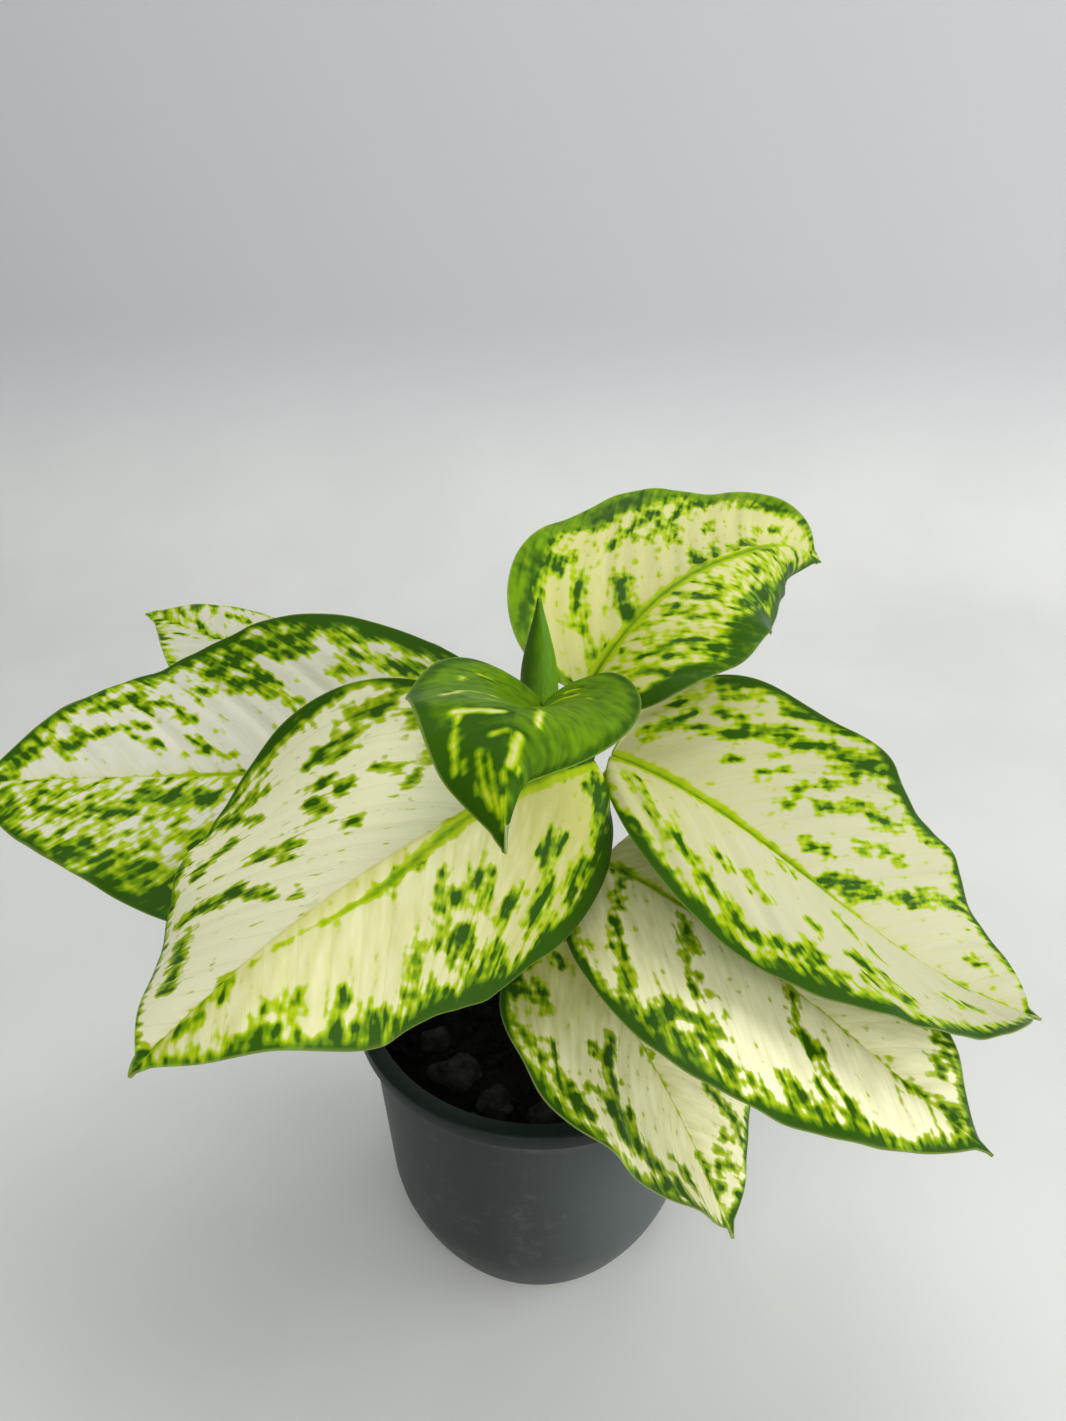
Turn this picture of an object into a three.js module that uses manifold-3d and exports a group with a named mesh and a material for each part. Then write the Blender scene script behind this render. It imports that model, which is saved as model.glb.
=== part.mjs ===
// A potted chinese evergreen (aglaonema): eight variegated leaves and one rolled new leaf on a
// short stem, rooted in potting mix in a plain nursery pot.
// Millimetres and degrees. +Z is up, the origin is the middle of the pot's flat base, and the
// front of the plant is towards -Y.

import * as THREE from "three";
import { mergeVertices } from "three/addons/utils/BufferGeometryUtils.js";
import Module from "manifold-3d";

const wasm = await Module();
wasm.setup();

// ---------------------------------------------------------------- driving dimensions

const GAP = 0.3; // clearance between pieces that touch

const POT = {
  height: 93,
  rimRadius: 55, // outside of the flat rim
  mouthRadius: 49.7, // inside of the rim
  rimThickness: 2.2,
  rimLip: 4.5, // how far the rim's edge turns down
  neckRadius: 51.6, // outside of the wall under the rim
  shoulderRadius: 48, // outside of the wall where the foot's curve starts
  shoulderHeight: 24,
  footRadius: 40, // edge of the flat base
  footCurve: 1.5, // 1 is a straight bevel, 2 a parabola
  wall: 1.5,
  floor: 2,
  drainHoles: 8,
  drainRadius: 3.5,
  drainCircle: 33,
};

const MIX = { height: 75, swell: 1.6 }; // mean height of the top, and how far it rises and falls

const LUMP = { size: 6.5, sink: 1.5 }; // half width of an average lump, and how deep it lies

const STEM = { radius: 6, bottom: 42, top: 112, nodeSpacing: 11, nodeSwell: 0.6 };

const ROOT = { radius: 1.9, count: 6, reach: 34, lowest: 14 };

const LEAF_THICKNESS = 1;
const PETIOLE = { radius: 2.3 };
const PETIOLE_RING = STEM.radius + STEM.nodeSwell + GAP + PETIOLE.radius; // stalks stand round the stem

const SPEAR = {
  foot: [0.5, 4, 112.4],
  tip: [0, 1, 221],
  radii: [
    [0, 2.2], [0.35, 3.2], [0.6, 4.6], [0.74, 5.1], [0.83, 4.6], [0.92, 2.5], [0.97, 1.1], [1, 0.35],
  ], // [share of the length, radius]
};

// One row per leaf, lowest leaf first. The midrib leaves base at heading (0 is +X, 90 is +Y) and
// turns by sway; pitch is its climb, and roll the blade's turn about it, at base, middle and tip.
// left and right are half widths seen from above, looking to the tip; widest is where they peak;
// taper sharpens the tip; shoulder slows how each half widens from the base (left, right), and
// neck narrows it there only; lobe is how far the base lobes reach back. fold lifts both halves
// at the midrib, curl bends each half out to its edge (base, tip), and a wave is the edge's
// [height, number of waves, phase].
// foot is where the stalk leaves the stem: [angle, height, distance from the stem's middle if it
// isn't beside the stem]; back is how gently the stalk bends into the blade.
const LEAVES = {
  bottom_centre: {
    base: [9, -15, 125], heading: -56, sway: -2, length: 85, pitch: [-10, -32, -45], roll: [-3, -18, -33],
    left: 41, right: 41, widest: 0.29, taper: 0.83, shoulder: [1.3, 1.3], lobe: 2, fold: [15, 11, 16],
    curlLeft: [-28, -18], curlRight: [-13, 31], waveLeft: [1.4, 2.4, 0.09], waveRight: [1.4, 3.6, 0.51],
    foot: [-98, 82], back: 4,
  },
  lower_right: {
    base: [17, -6.4, 145.5], heading: -41, sway: 1, length: 116, pitch: [6, -16, -16], roll: [5, -2, -11],
    left: 41, right: 42, widest: 0.34, taper: 0.9, shoulder: [1.1, 1.1], lobe: 3, fold: [12, 13, 8],
    curlLeft: [-18, -25], curlRight: [-25, -9], waveLeft: [2.1, 2.9, 0.06], waveRight: [0.5, 3.6, 0.66],
    foot: [-14, 86], back: 4,
  },
  back_left: {
    base: [-7, 13, 166], heading: 150, sway: 10, length: 128, pitch: [7, 8, 9], roll: [-4, 2, 2],
    left: 37, right: 36.5, widest: 0.3, taper: 1.14, shoulder: [1.6, 1.2], lobe: 2, fold: [11, 12, 15],
    curlLeft: [-28, -9], curlRight: [-43, -4], waveLeft: [1.6, 2.9, 0.98], waveRight: [3.8, 1.7, 0.73],
    foot: [125, 91], back: 3,
  },
  left: {
    base: [-10, -1, 172], heading: 183, sway: 1, length: 136, pitch: [1, 1, -1], roll: [-17, -24, 3],
    left: 43, right: 43, widest: 0.28, taper: 0.75, shoulder: [1.1, 1.2], lobe: 4, fold: [17, 11, 11],
    curlLeft: [-30, -23], curlRight: [4, -7], waveLeft: [3.3, 2.4, 0.6], waveRight: [4, 1.8, 0.74],
    foot: [180, 96], back: 2,
  },
  right: {
    base: [19, 0, 176], heading: -24, sway: 2, length: 127, pitch: [-6, -32, -3], roll: [0, 1, -22],
    left: 41, right: 39, widest: 0.37, taper: 0.46, shoulder: [1, 1.5], lobe: -3, fold: [18, 21, 15],
    curlLeft: [34, -16], curlRight: [-52, 7], waveLeft: [2, 3.5, 0.96], waveRight: [2.2, 2, 0.14],
    foot: [20, 100], back: 3,
  },
  front_left: {
    base: [14, -8, 180], heading: 228, sway: -7, length: 132, pitch: [16, -3, -31], roll: [-50, -14, 17],
    left: 40, right: 44, widest: 0.3, taper: 0.93, shoulder: [0.85, 3], neck: [0, 0.45], lobe: 2,
    fold: [24, -26, 18], curlLeft: [-56, -23], curlRight: [38, -14],
    waveLeft: [2.3, 3.5, 0.57], waveRight: [4.2, 2.7, 0.5], foot: [-47, 104], back: 2,
  },
  upper_right: {
    base: [12, 11, 188], heading: 38, sway: 4, length: 111, pitch: [55, 4, -37], roll: [30, 8, 70],
    left: 40, right: 28, widest: 0.29, taper: 1.1, shoulder: [1, 1], lobe: 2, fold: [36, -10, 12],
    curlLeft: [11, 22], curlRight: [-34, -67], waveLeft: [2.5, 2.7, 0.07], waveRight: [2.5, 3.5, 0.97],
    foot: [62, 107], back: 3,
  },
  centre: {
    base: [1, -14, 200], heading: -100, sway: 7, length: 82, pitch: [8, 29, -97], roll: [2, -5, -16],
    left: 24, right: 25, widest: 0.27, taper: 0.85, shoulder: [1, 1], lobe: 3, fold: [61, 9, -15],
    curlLeft: [-58, -163], curlRight: [-43, -13], waveLeft: [7.5, 0, 0.23], waveRight: [2.7, 2.1, 0.01],
    foot: [-100, 112.4, 2.5], back: 8, stalk: 1.7,
  },
};

// Grey-brown lumps lying in the top of the mix: [x, y, size against the average].
const LUMPS = [
  [-24, -21, 1.15], [-12, -31, 1], [-31, -8, 0.8], [4, -36, 1.1], [-18, -38, 0.7], [26, -24, 0.9],
  [36, 2, 1], [-38, 12, 0.9], [-18, 34, 1.1], [22, 33, 0.8],
];

// ---------------------------------------------------------------- helpers

const radians = THREE.MathUtils.degToRad;

// A value given at base and tip, or at base, middle and tip, read at v from 0 to 1.
function along(values, v) {
  if (values.length === 2) return values[0] + (values[1] - values[0]) * v;
  const [a, b, c] = values;
  return a * (1 - v) * (1 - 2 * v) + 4 * b * v * (1 - v) + c * v * (2 * v - 1);
}

function triangleMesh(positions, indices) {
  const geometry = new THREE.BufferGeometry();
  geometry.setAttribute("position", new THREE.Float32BufferAttribute(positions, 3));
  geometry.setIndex(indices);
  return geometry;
}

// Skins a list of closed rings that have the same number of points and closes both ends.
function loft(rings) {
  const count = rings[0].length;
  const indices = [];
  for (let row = 0; row + 1 < rings.length; row++) {
    for (let i = 0; i < count; i++) {
      const a = row * count + i;
      const b = row * count + ((i + 1) % count);
      indices.push(a, b, b + count, a, b + count, a + count);
    }
  }
  const last = (rings.length - 1) * count;
  for (let i = 0; i < count / 2 - 1; i++) {
    const [a, b, c, d] = [i, i + 1, count - 2 - i, count - 1 - i];
    indices.push(a, c, b, a, d, c);
    indices.push(last + a, last + b, last + c, last + a, last + c, last + d);
  }
  const positions = rings.flat().flatMap((point) => [point.x, point.y, point.z]);
  return facingOut(triangleMesh(positions, indices));
}

// Turns a closed mesh inside out if its faces point in.
function facingOut(geometry) {
  const position = geometry.attributes.position;
  const index = geometry.index.array;
  const [a, b, c] = [new THREE.Vector3(), new THREE.Vector3(), new THREE.Vector3()];
  let volume = 0;
  for (let i = 0; i < index.length; i += 3) {
    a.fromBufferAttribute(position, index[i]);
    b.fromBufferAttribute(position, index[i + 1]);
    c.fromBufferAttribute(position, index[i + 2]);
    volume += a.dot(b.cross(c));
  }
  if (volume < 0) index.reverse();
  return geometry;
}

function toSolid(geometry) {
  const plain = geometry.clone();
  plain.deleteAttribute("normal");
  plain.deleteAttribute("uv");
  const merged = mergeVertices(plain, 1e-4);
  const mesh = new wasm.Mesh({
    numProp: 3,
    vertProperties: new Float32Array(merged.attributes.position.array),
    triVerts: new Uint32Array(merged.index.array),
  });
  return new wasm.Manifold(mesh);
}

function toGeometry(solid) {
  const mesh = solid.getMesh();
  return triangleMesh(Array.from(mesh.vertProperties), Array.from(mesh.triVerts));
}

// A round bar along a curve. A full circle is cut into twice its curve segments.
function sweep(curve, radius, steps, sides) {
  const section = new THREE.Shape().absarc(0, 0, radius, 0, 2 * Math.PI);
  return new THREE.ExtrudeGeometry(section, { steps, curveSegments: sides / 2, extrudePath: curve });
}

function bezier(points) {
  return new THREE.CubicBezierCurve3(...points.map((point) => new THREE.Vector3(...point)));
}

function turned(profile, segments) {
  const points = profile.map(([radius, height]) => new THREE.Vector2(radius, height));
  return new THREE.LatheGeometry(points, segments).rotateX(Math.PI / 2);
}

// ---------------------------------------------------------------- pot

// The wall's outside radius at a height, straight above the shoulder and rounded below it.
function wallRadius(height) {
  if (height >= POT.shoulderHeight) {
    const rise = (height - POT.shoulderHeight) / (POT.height - POT.shoulderHeight);
    return THREE.MathUtils.lerp(POT.shoulderRadius, POT.neckRadius, rise);
  }
  const drop = 1 - height / POT.shoulderHeight;
  return THREE.MathUtils.lerp(POT.shoulderRadius, POT.footRadius, drop ** POT.footCurve);
}

function buildPot() {
  const footHeights = [0, 3, 7, 12, 18, POT.shoulderHeight];
  const outside = footHeights.map((height) => [wallRadius(height), height]);
  const insideHeights = [POT.floor, ...footHeights.slice(2), POT.height];
  const inside = insideHeights.map((height) => [wallRadius(height) - POT.wall, height]);
  inside[inside.length - 1][0] = POT.mouthRadius;
  const rimBottom = POT.height - POT.rimThickness;
  const profile = [
    [0, 0],
    ...outside,
    [wallRadius(rimBottom), rimBottom],
    [POT.rimRadius - POT.wall, rimBottom],
    [POT.rimRadius - POT.wall, POT.height - POT.rimLip],
    [POT.rimRadius, POT.height - POT.rimLip],
    [POT.rimRadius, POT.height - 0.6],
    [POT.rimRadius - 0.6, POT.height],
    ...inside.reverse(),
    [0, POT.floor],
  ];
  let pot = toSolid(facingOut(mergedPlain(turned(profile, 48))));
  for (let hole = 0; hole < POT.drainHoles; hole++) {
    const angle = (2 * Math.PI * hole) / POT.drainHoles;
    const drill = new THREE.CylinderGeometry(POT.drainRadius, POT.drainRadius, 6 * POT.floor, 12)
      .rotateX(Math.PI / 2)
      .translate(POT.drainCircle * Math.cos(angle), POT.drainCircle * Math.sin(angle), 0);
    pot = pot.subtract(toSolid(drill));
  }
  return pot;
}

function mergedPlain(geometry) {
  geometry.deleteAttribute("normal");
  geometry.deleteAttribute("uv");
  return mergeVertices(geometry, 1e-4);
}

// ---------------------------------------------------------------- stem and roots

function buildStem(grow) {
  const rings = [];
  const steps = Math.round((STEM.top - STEM.bottom) / (STEM.nodeSpacing / 2));
  for (let row = 0; row <= steps; row++) {
    const height = THREE.MathUtils.lerp(STEM.bottom, STEM.top, row / steps) + (row === 0 ? -grow : 0);
    const swell = row % 2 === 0 ? STEM.nodeSwell : 0;
    const radius = STEM.radius + swell + grow;
    rings.push(circle(14, (angle) => [radius * Math.cos(angle), radius * Math.sin(angle), height]));
  }
  return rootPaths(grow).reduce(
    (solid, path) => solid.add(toSolid(sweep(path, ROOT.radius + grow, 7, 6))),
    toSolid(loft(rings)),
  );
}

function circle(count, place) {
  return Array.from({ length: count }, (_, i) => new THREE.Vector3(...place((2 * Math.PI * i) / count)));
}

// Fleshy roots that leave the bottom of the stem and bend down towards the pot's floor.
function rootPaths(grow) {
  return Array.from({ length: ROOT.count }, (_, i) => {
    const angle = (2 * Math.PI * i) / ROOT.count + 0.4 * Math.sin(5 * i);
    const reach = ROOT.reach * (0.82 + 0.18 * Math.sin(3 * i + 1));
    const start = STEM.bottom + 4 + (i % 3) * 7;
    const lowest = ROOT.lowest + (i % 2) * 10 - grow;
    const at = (radius, height) => [radius * Math.cos(angle), radius * Math.sin(angle), height];
    const bend = [at(reach * 0.6, start + 2), at(reach, start - 8)];
    return bezier([at(2, start), ...bend, at(reach * 0.92, lowest)]);
  });
}

// ---------------------------------------------------------------- potting mix and its lumps

function mixTop(x, y) {
  const rise = Math.sin(0.13 * x + 1) * Math.cos(0.16 * y) + 0.5 * Math.sin(0.31 * (x - y));
  return MIX.height + MIX.swell * rise;
}

function buildMix(stem, lumps) {
  const clear = POT.wall + GAP;
  const heights = [POT.floor + GAP, 7, 12, 18, POT.shoulderHeight];
  const side = heights.map((height) => [wallRadius(height) - clear, height]);
  const edge = wallRadius(MIX.height) - clear - 0.4;
  const top = [1, 0.85, 0.68, 0.5, 0.32, 0.16].map((share) => [share * edge, MIX.height]);
  const geometry = mergedPlain(turned([[0, heights[0]], ...side, ...top, [0, MIX.height]], 36));
  const position = geometry.attributes.position;
  for (let i = 0; i < position.count; i++) {
    if (position.getZ(i) > MIX.height - 0.01) position.setZ(i, mixTop(position.getX(i), position.getY(i)));
  }
  return lumps.reduce((solid, lump) => solid.subtract(lump), toSolid(facingOut(geometry)).subtract(stem));
}

// A broken lump: a ball of 80 faces pushed in and out by its own sine waves.
function buildLump(index, grow) {
  const [x, y, share] = LUMPS[index];
  const geometry = mergedPlain(new THREE.IcosahedronGeometry(1, 1));
  const position = geometry.attributes.position;
  const point = new THREE.Vector3();
  const flat = new THREE.Vector3(1, 0.8, 0.7);
  const spin = new THREE.Euler(index * 1.3, index * 0.9, index * 2.1);
  for (let i = 0; i < position.count; i++) {
    point.fromBufferAttribute(position, i);
    const bump = 1 + 0.14 * Math.sin(4 * point.x + index) + 0.12 * Math.cos(5 * point.y - 2 * index);
    point.multiplyScalar(LUMP.size * share * bump + grow).multiply(flat).applyEuler(spin);
    position.setXYZ(i, point.x, point.y, point.z);
  }
  return toSolid(geometry.translate(x, y, mixTop(x, y) + LUMP.sink));
}

// ---------------------------------------------------------------- leaves

const TIP_POINT = 5; // length of the drawn-out point at a leaf's tip
const STUB = 2; // half width where a blade starts
const LOBE_AT = 0.05; // share of the length where the base lobes reach back furthest
const NECK_LENGTH = 0.12; // share of the length over which a neck fades out
const ACROSS = 8; // faces across a blade
const ROWS = [0, 0.02, 0.05, 0.1, 0.18, 0.27, 0.36, 0.45, 0.54, 0.63, 0.72, 0.8, 0.87, 0.93, 0.97, 1];

// Unit vectors at v along the midrib: ahead, to the right, and up from the blade.
function leafFrame(leaf, v) {
  const heading = radians(leaf.heading + leaf.sway * v);
  const climb = radians(along(leaf.pitch, v));
  const roll = radians(along(leaf.roll, v));
  const ahead = new THREE.Vector3(
    Math.cos(climb) * Math.cos(heading),
    Math.cos(climb) * Math.sin(heading),
    Math.sin(climb),
  );
  const level = new THREE.Vector3(Math.sin(heading), -Math.cos(heading), 0);
  const upright = new THREE.Vector3().crossVectors(level, ahead);
  const right = level.clone().multiplyScalar(Math.cos(roll)).addScaledVector(upright, -Math.sin(roll));
  const up = upright.multiplyScalar(Math.cos(roll)).addScaledVector(level, Math.sin(roll));
  return { ahead, right, up };
}

// The midrib as a list of points: each step goes ahead by an equal share of the length.
function midribPoints(leaf, steps) {
  const points = [new THREE.Vector3(...leaf.base)];
  for (let i = 0; i < steps; i++) {
    const { ahead } = leafFrame(leaf, (i + 0.5) / steps);
    points.push(points[i].clone().addScaledVector(ahead, leaf.length / steps));
  }
  return points;
}

// Half width at v: rises fast to its peak at widest, then falls to the drawn-out point.
function halfWidth(leaf, v, side) {
  const point = TIP_POINT / leaf.length;
  const share = Math.min(v / (1 - point), 1);
  const half = side > 0 ? 1 : 0;
  const rise = ((leaf.taper * leaf.widest) / (1 - leaf.widest)) * leaf.shoulder[half];
  const neck = 1 - (leaf.neck ?? [0, 0])[half] * Math.exp(-((v / NECK_LENGTH) ** 2));
  const shape = (share / leaf.widest) ** rise * ((1 - share) / (1 - leaf.widest)) ** leaf.taper * neck;
  const stub = STUB * THREE.MathUtils.clamp((1 - v) / point, 0.15, 1);
  return Math.hypot((side > 0 ? leaf.right : leaf.left) * shape, stub);
}

// A point of the blade's middle surface: u is -1 at the left edge, 0 on the midrib, 1 at the right.
function bladePoint(leaf, midrib, u, v) {
  const side = Math.sign(u) || 1;
  const out = Math.abs(u);
  const forward = 0.4 * v * (1 - v) * out ** 1.5;
  const back = (leaf.lobe / leaf.length) * (v / LOBE_AT) * Math.exp(1 - v / LOBE_AT) * out;
  const place = v + forward - back;
  const inside = THREE.MathUtils.clamp(place, 0, 1);
  const step = Math.min(Math.floor(inside * (midrib.length - 1)), midrib.length - 2);
  const { ahead, right, up } = leafFrame(leaf, inside);
  const width = halfWidth(leaf, v, side);
  const curl = side > 0 ? leaf.curlRight : leaf.curlLeft;
  const lean = radians(along(leaf.fold, v) + (along(curl, v) * out) / 2);
  const [height, count, phase] = side > 0 ? leaf.waveRight : leaf.waveLeft;
  const swing = Math.sin(2 * Math.PI * (count * v + phase)) * Math.sin(Math.PI * v) ** 0.5;
  return midrib[step].clone()
    .lerp(midrib[step + 1], inside * (midrib.length - 1) - step)
    .addScaledVector(ahead, (place - inside) * leaf.length)
    .addScaledVector(right, side * width * out * Math.cos(lean))
    .addScaledVector(up, width * out * Math.sin(lean) + height * out ** 2.2 * swing);
}

function buildBlade(leaf) {
  const midrib = midribPoints(leaf, 120);
  const surface = ROWS.map((v) =>
    Array.from({ length: ACROSS + 1 }, (_, i) => bladePoint(leaf, midrib, (2 * i) / ACROSS - 1, v)),
  );
  const rings = surface.map((row, r) => {
    const before = surface[Math.max(r - 1, 0)];
    const after = surface[Math.min(r + 1, surface.length - 1)];
    const lift = row.map((_, i) => {
      const across = row[Math.min(i + 1, ACROSS)].clone().sub(row[Math.max(i - 1, 0)]);
      const lengthwise = after[i].clone().sub(before[i]);
      return across.cross(lengthwise).setLength(LEAF_THICKNESS / 2);
    });
    const upper = row.map((point, i) => point.clone().add(lift[i]));
    const lower = row.map((point, i) => point.clone().sub(lift[i]));
    return [...upper, ...lower.reverse()];
  });
  return toSolid(loft(rings));
}

// The stalk rises beside the stem, bends over and runs in under the blade's base.
function buildPetiole(leaf) {
  const [angle, height, ring = PETIOLE_RING] = leaf.foot;
  const foot = new THREE.Vector3(ring * Math.cos(radians(angle)), ring * Math.sin(radians(angle)), height);
  const radius = leaf.stalk ?? PETIOLE.radius;
  const { ahead, up } = leafFrame(leaf, 0);
  const end = new THREE.Vector3(...leaf.base).addScaledVector(up, -0.6 * radius);
  const climb = end.z - foot.z;
  const before = end.clone().addScaledVector(ahead, -leaf.back - 2);
  const path = bezier([
    foot.toArray(),
    [foot.x, foot.y, foot.z + climb * 0.4],
    [before.x, before.y, before.z - climb * 0.09],
    end.clone().addScaledVector(ahead, 2).toArray(),
  ]);
  return toSolid(sweep(path, radius, 10, 8));
}

// The newest leaf, still rolled up: widest above the middle and drawn to a point.
function buildSpear() {
  const foot = new THREE.Vector3(...SPEAR.foot);
  const tip = new THREE.Vector3(...SPEAR.tip);
  return toSolid(loft(SPEAR.radii.map(([share, radius]) => {
    const centre = foot.clone().lerp(tip, share);
    return circle(12, (angle) => [
      centre.x + radius * Math.cos(angle),
      centre.y + radius * Math.sin(angle) * 0.9,
      centre.z,
    ]);
  })));
}

// ---------------------------------------------------------------- the plant

const LEAF_GREEN = { color: 0xd9dca6, roughness: 0.42, metalness: 0 };
const SPEAR_GREEN = { color: 0x2f6a1c, roughness: 0.38, metalness: 0 };
const STEM_GREEN = { color: 0x6f8a3f, roughness: 0.6, metalness: 0 };
const POT_PLASTIC = { color: 0x33393a, roughness: 0.5, metalness: 0 };
const DARK_MIX = { color: 0x241c17, roughness: 0.95, metalness: 0 };
const GREY_LUMP = { color: 0x57504a, roughness: 0.9, metalness: 0 };

const plant = new THREE.Group();

function addPiece(name, solid, finish) {
  const geometry = toGeometry(solid);
  geometry.computeVertexNormals();
  const material = new THREE.MeshStandardMaterial({ ...finish, side: THREE.DoubleSide });
  const piece = new THREE.Mesh(geometry, material);
  piece.name = name;
  plant.add(piece);
}

addPiece("pot", buildPot(), POT_PLASTIC);
const hollows = LUMPS.map((_, i) => buildLump(i, GAP + 0.1));
addPiece("potting_mix", buildMix(buildStem(GAP), hollows), DARK_MIX);
LUMPS.forEach((_, i) => addPiece(`lump_${i + 1}`, buildLump(i, 0), GREY_LUMP));
addPiece("stem_and_roots", buildStem(0), STEM_GREEN);
for (const [name, leaf] of Object.entries(LEAVES)) {
  addPiece(`leaf_${name}`, buildBlade(leaf).add(buildPetiole(leaf)), LEAF_GREEN);
}
addPiece("leaf_new_rolled", buildSpear(), SPEAR_GREEN);

export default plant;
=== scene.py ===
"""Looks for a potted chinese evergreen (aglaonema) in a plain nursery pot.

Sizes are in millimetres and angles in degrees until a mesh is made, which is in metres. +Z is up
and the front of the plant is towards -Y.
"""
import math
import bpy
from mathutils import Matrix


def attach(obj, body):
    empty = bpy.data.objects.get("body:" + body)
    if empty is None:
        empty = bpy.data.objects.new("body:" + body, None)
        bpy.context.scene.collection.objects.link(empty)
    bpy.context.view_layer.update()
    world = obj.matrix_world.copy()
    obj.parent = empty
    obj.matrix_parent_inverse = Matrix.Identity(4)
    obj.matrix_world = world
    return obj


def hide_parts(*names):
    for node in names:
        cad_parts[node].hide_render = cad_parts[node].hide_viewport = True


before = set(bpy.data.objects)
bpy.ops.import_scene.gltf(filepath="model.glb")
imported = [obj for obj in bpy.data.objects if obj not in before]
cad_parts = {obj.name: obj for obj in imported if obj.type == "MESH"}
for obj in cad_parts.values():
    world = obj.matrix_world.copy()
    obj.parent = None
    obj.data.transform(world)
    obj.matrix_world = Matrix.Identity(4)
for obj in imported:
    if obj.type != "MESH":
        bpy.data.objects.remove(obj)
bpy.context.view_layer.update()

from types import SimpleNamespace as Named
import bmesh
import bpy
import numpy as np
from mathutils import Euler, Vector, noise

MM = 0.001
GAP = 0.3  # clearance between pieces that touch
FULL_TURN = 2 * math.pi

# -------- dimensions, as in the CAD

POT = Named(
    height=93, rim_radius=55, mouth_radius=49.7, rim_thickness=2.2, rim_lip=4.5, neck_radius=51.6,
    shoulder_radius=48, shoulder_height=24, foot_radius=40, foot_curve=1.5, wall=1.5, floor=2,
    drain_holes=8, drain_radius=3.5, drain_circle=33,
)
MIX = Named(height=75, swell=1.6)
LUMP = Named(size=6.5, sink=1.5)
STEM = Named(radius=6, bottom=42, top=112, node_spacing=11, node_swell=0.6)
ROOT = Named(radius=1.9, count=6, reach=34, lowest=14)
PETIOLE_RADIUS = 2.3
PETIOLE_RING = STEM.radius + STEM.node_swell + GAP + PETIOLE_RADIUS
SPEAR = Named(
    foot=(0.5, 4, 112.4), tip=(0, 1, 221),
    radii=((0, 2.2), (0.35, 3.2), (0.6, 4.6), (0.74, 5.1), (0.83, 4.6), (0.92, 2.5), (0.97, 1.1), (1, 0.35)),
)

# The midrib leaves base at heading (0 is +X, 90 is +Y) and turns by sway; pitch is its climb and
# roll the blade's turn about it, at base, middle and tip. half, shoulder, neck, curl and wave have a
# value for the left half and one for the right: half is a width, and a wave a height, a count and a
# start. foot is where the stalk starts: an angle round the stem, a height and, if unusual, a radius.
LEAVES = {
    "bottom_centre": dict(
        base=(9, -15, 125), heading=-56, sway=-2, length=85, pitch=(-10, -32, -45), roll=(-3, -18, -33),
        half=(41, 41), widest=0.29, taper=0.83, shoulder=(1.3, 1.3), lobe=2, fold=(15, 11, 16),
        curl=((-28, -18), (-13, 31)), wave=((1.4, 2.4, 0.09), (1.4, 3.6, 0.51)), foot=(-98, 82), back=4,
    ),
    "lower_right": dict(
        base=(17, -6.4, 145.5), heading=-41, sway=1, length=116, pitch=(6, -16, -16), roll=(5, -2, -11),
        half=(41, 42), widest=0.34, taper=0.9, shoulder=(1.1, 1.1), lobe=3, fold=(12, 13, 8),
        curl=((-18, -25), (-25, -9)), wave=((2.1, 2.9, 0.06), (0.5, 3.6, 0.66)), foot=(-14, 86), back=4,
    ),
    "back_left": dict(
        base=(-7, 13, 166), heading=150, sway=10, length=128, pitch=(7, 8, 9), roll=(-4, 2, 2),
        half=(37, 36.5), widest=0.3, taper=1.14, shoulder=(1.6, 1.2), lobe=2, fold=(11, 12, 15),
        curl=((-28, -9), (-43, -4)), wave=((1.6, 2.9, 0.98), (3.8, 1.7, 0.73)), foot=(125, 91), back=3,
    ),
    "left": dict(
        base=(-10, -1, 172), heading=183, sway=1, length=136, pitch=(1, 1, -1), roll=(-17, -24, 3),
        half=(43, 43), widest=0.28, taper=0.75, shoulder=(1.1, 1.2), lobe=4, fold=(17, 11, 11),
        curl=((-30, -23), (4, -7)), wave=((3.3, 2.4, 0.6), (4, 1.8, 0.74)), foot=(180, 96), back=2,
    ),
    "right": dict(
        base=(19, 0, 176), heading=-24, sway=2, length=127, pitch=(-6, -32, -3), roll=(0, 1, -22),
        half=(41, 39), widest=0.37, taper=0.46, shoulder=(1, 1.5), lobe=-3, fold=(18, 21, 15),
        curl=((34, -16), (-52, 7)), wave=((2, 3.5, 0.96), (2.2, 2, 0.14)), foot=(20, 100), back=3,
    ),
    "front_left": dict(
        base=(14, -8, 180), heading=228, sway=-7, length=132, pitch=(16, -3, -31), roll=(-50, -14, 17),
        half=(40, 44), widest=0.3, taper=0.93, shoulder=(0.85, 3), neck=(0, 0.45), lobe=2,
        fold=(24, -26, 18), curl=((-56, -23), (38, -14)), wave=((2.3, 3.5, 0.57), (4.2, 2.7, 0.5)),
        foot=(-47, 104), back=2,
    ),
    "upper_right": dict(
        base=(12, 11, 188), heading=38, sway=4, length=111, pitch=(55, 4, -37), roll=(30, 8, 70),
        half=(40, 28), widest=0.29, taper=1.1, shoulder=(1, 1), lobe=2, fold=(36, -10, 12),
        curl=((11, 22), (-34, -67)), wave=((2.5, 2.7, 0.07), (2.5, 3.5, 0.97)), foot=(62, 107), back=3,
    ),
    "centre": dict(
        base=(1, -14, 200), heading=-100, sway=7, length=82, pitch=(8, 29, -97), roll=(2, -5, -16),
        half=(24, 25), widest=0.27, taper=0.85, shoulder=(1, 1), lobe=3, fold=(61, 9, -15),
        curl=((-58, -163), (-43, -13)), wave=((7.5, 0, 0.23), (2.7, 2.1, 0.01)), foot=(-100, 112.4, 2.5),
        back=8, stalk=1.7,
    ),
}

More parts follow.
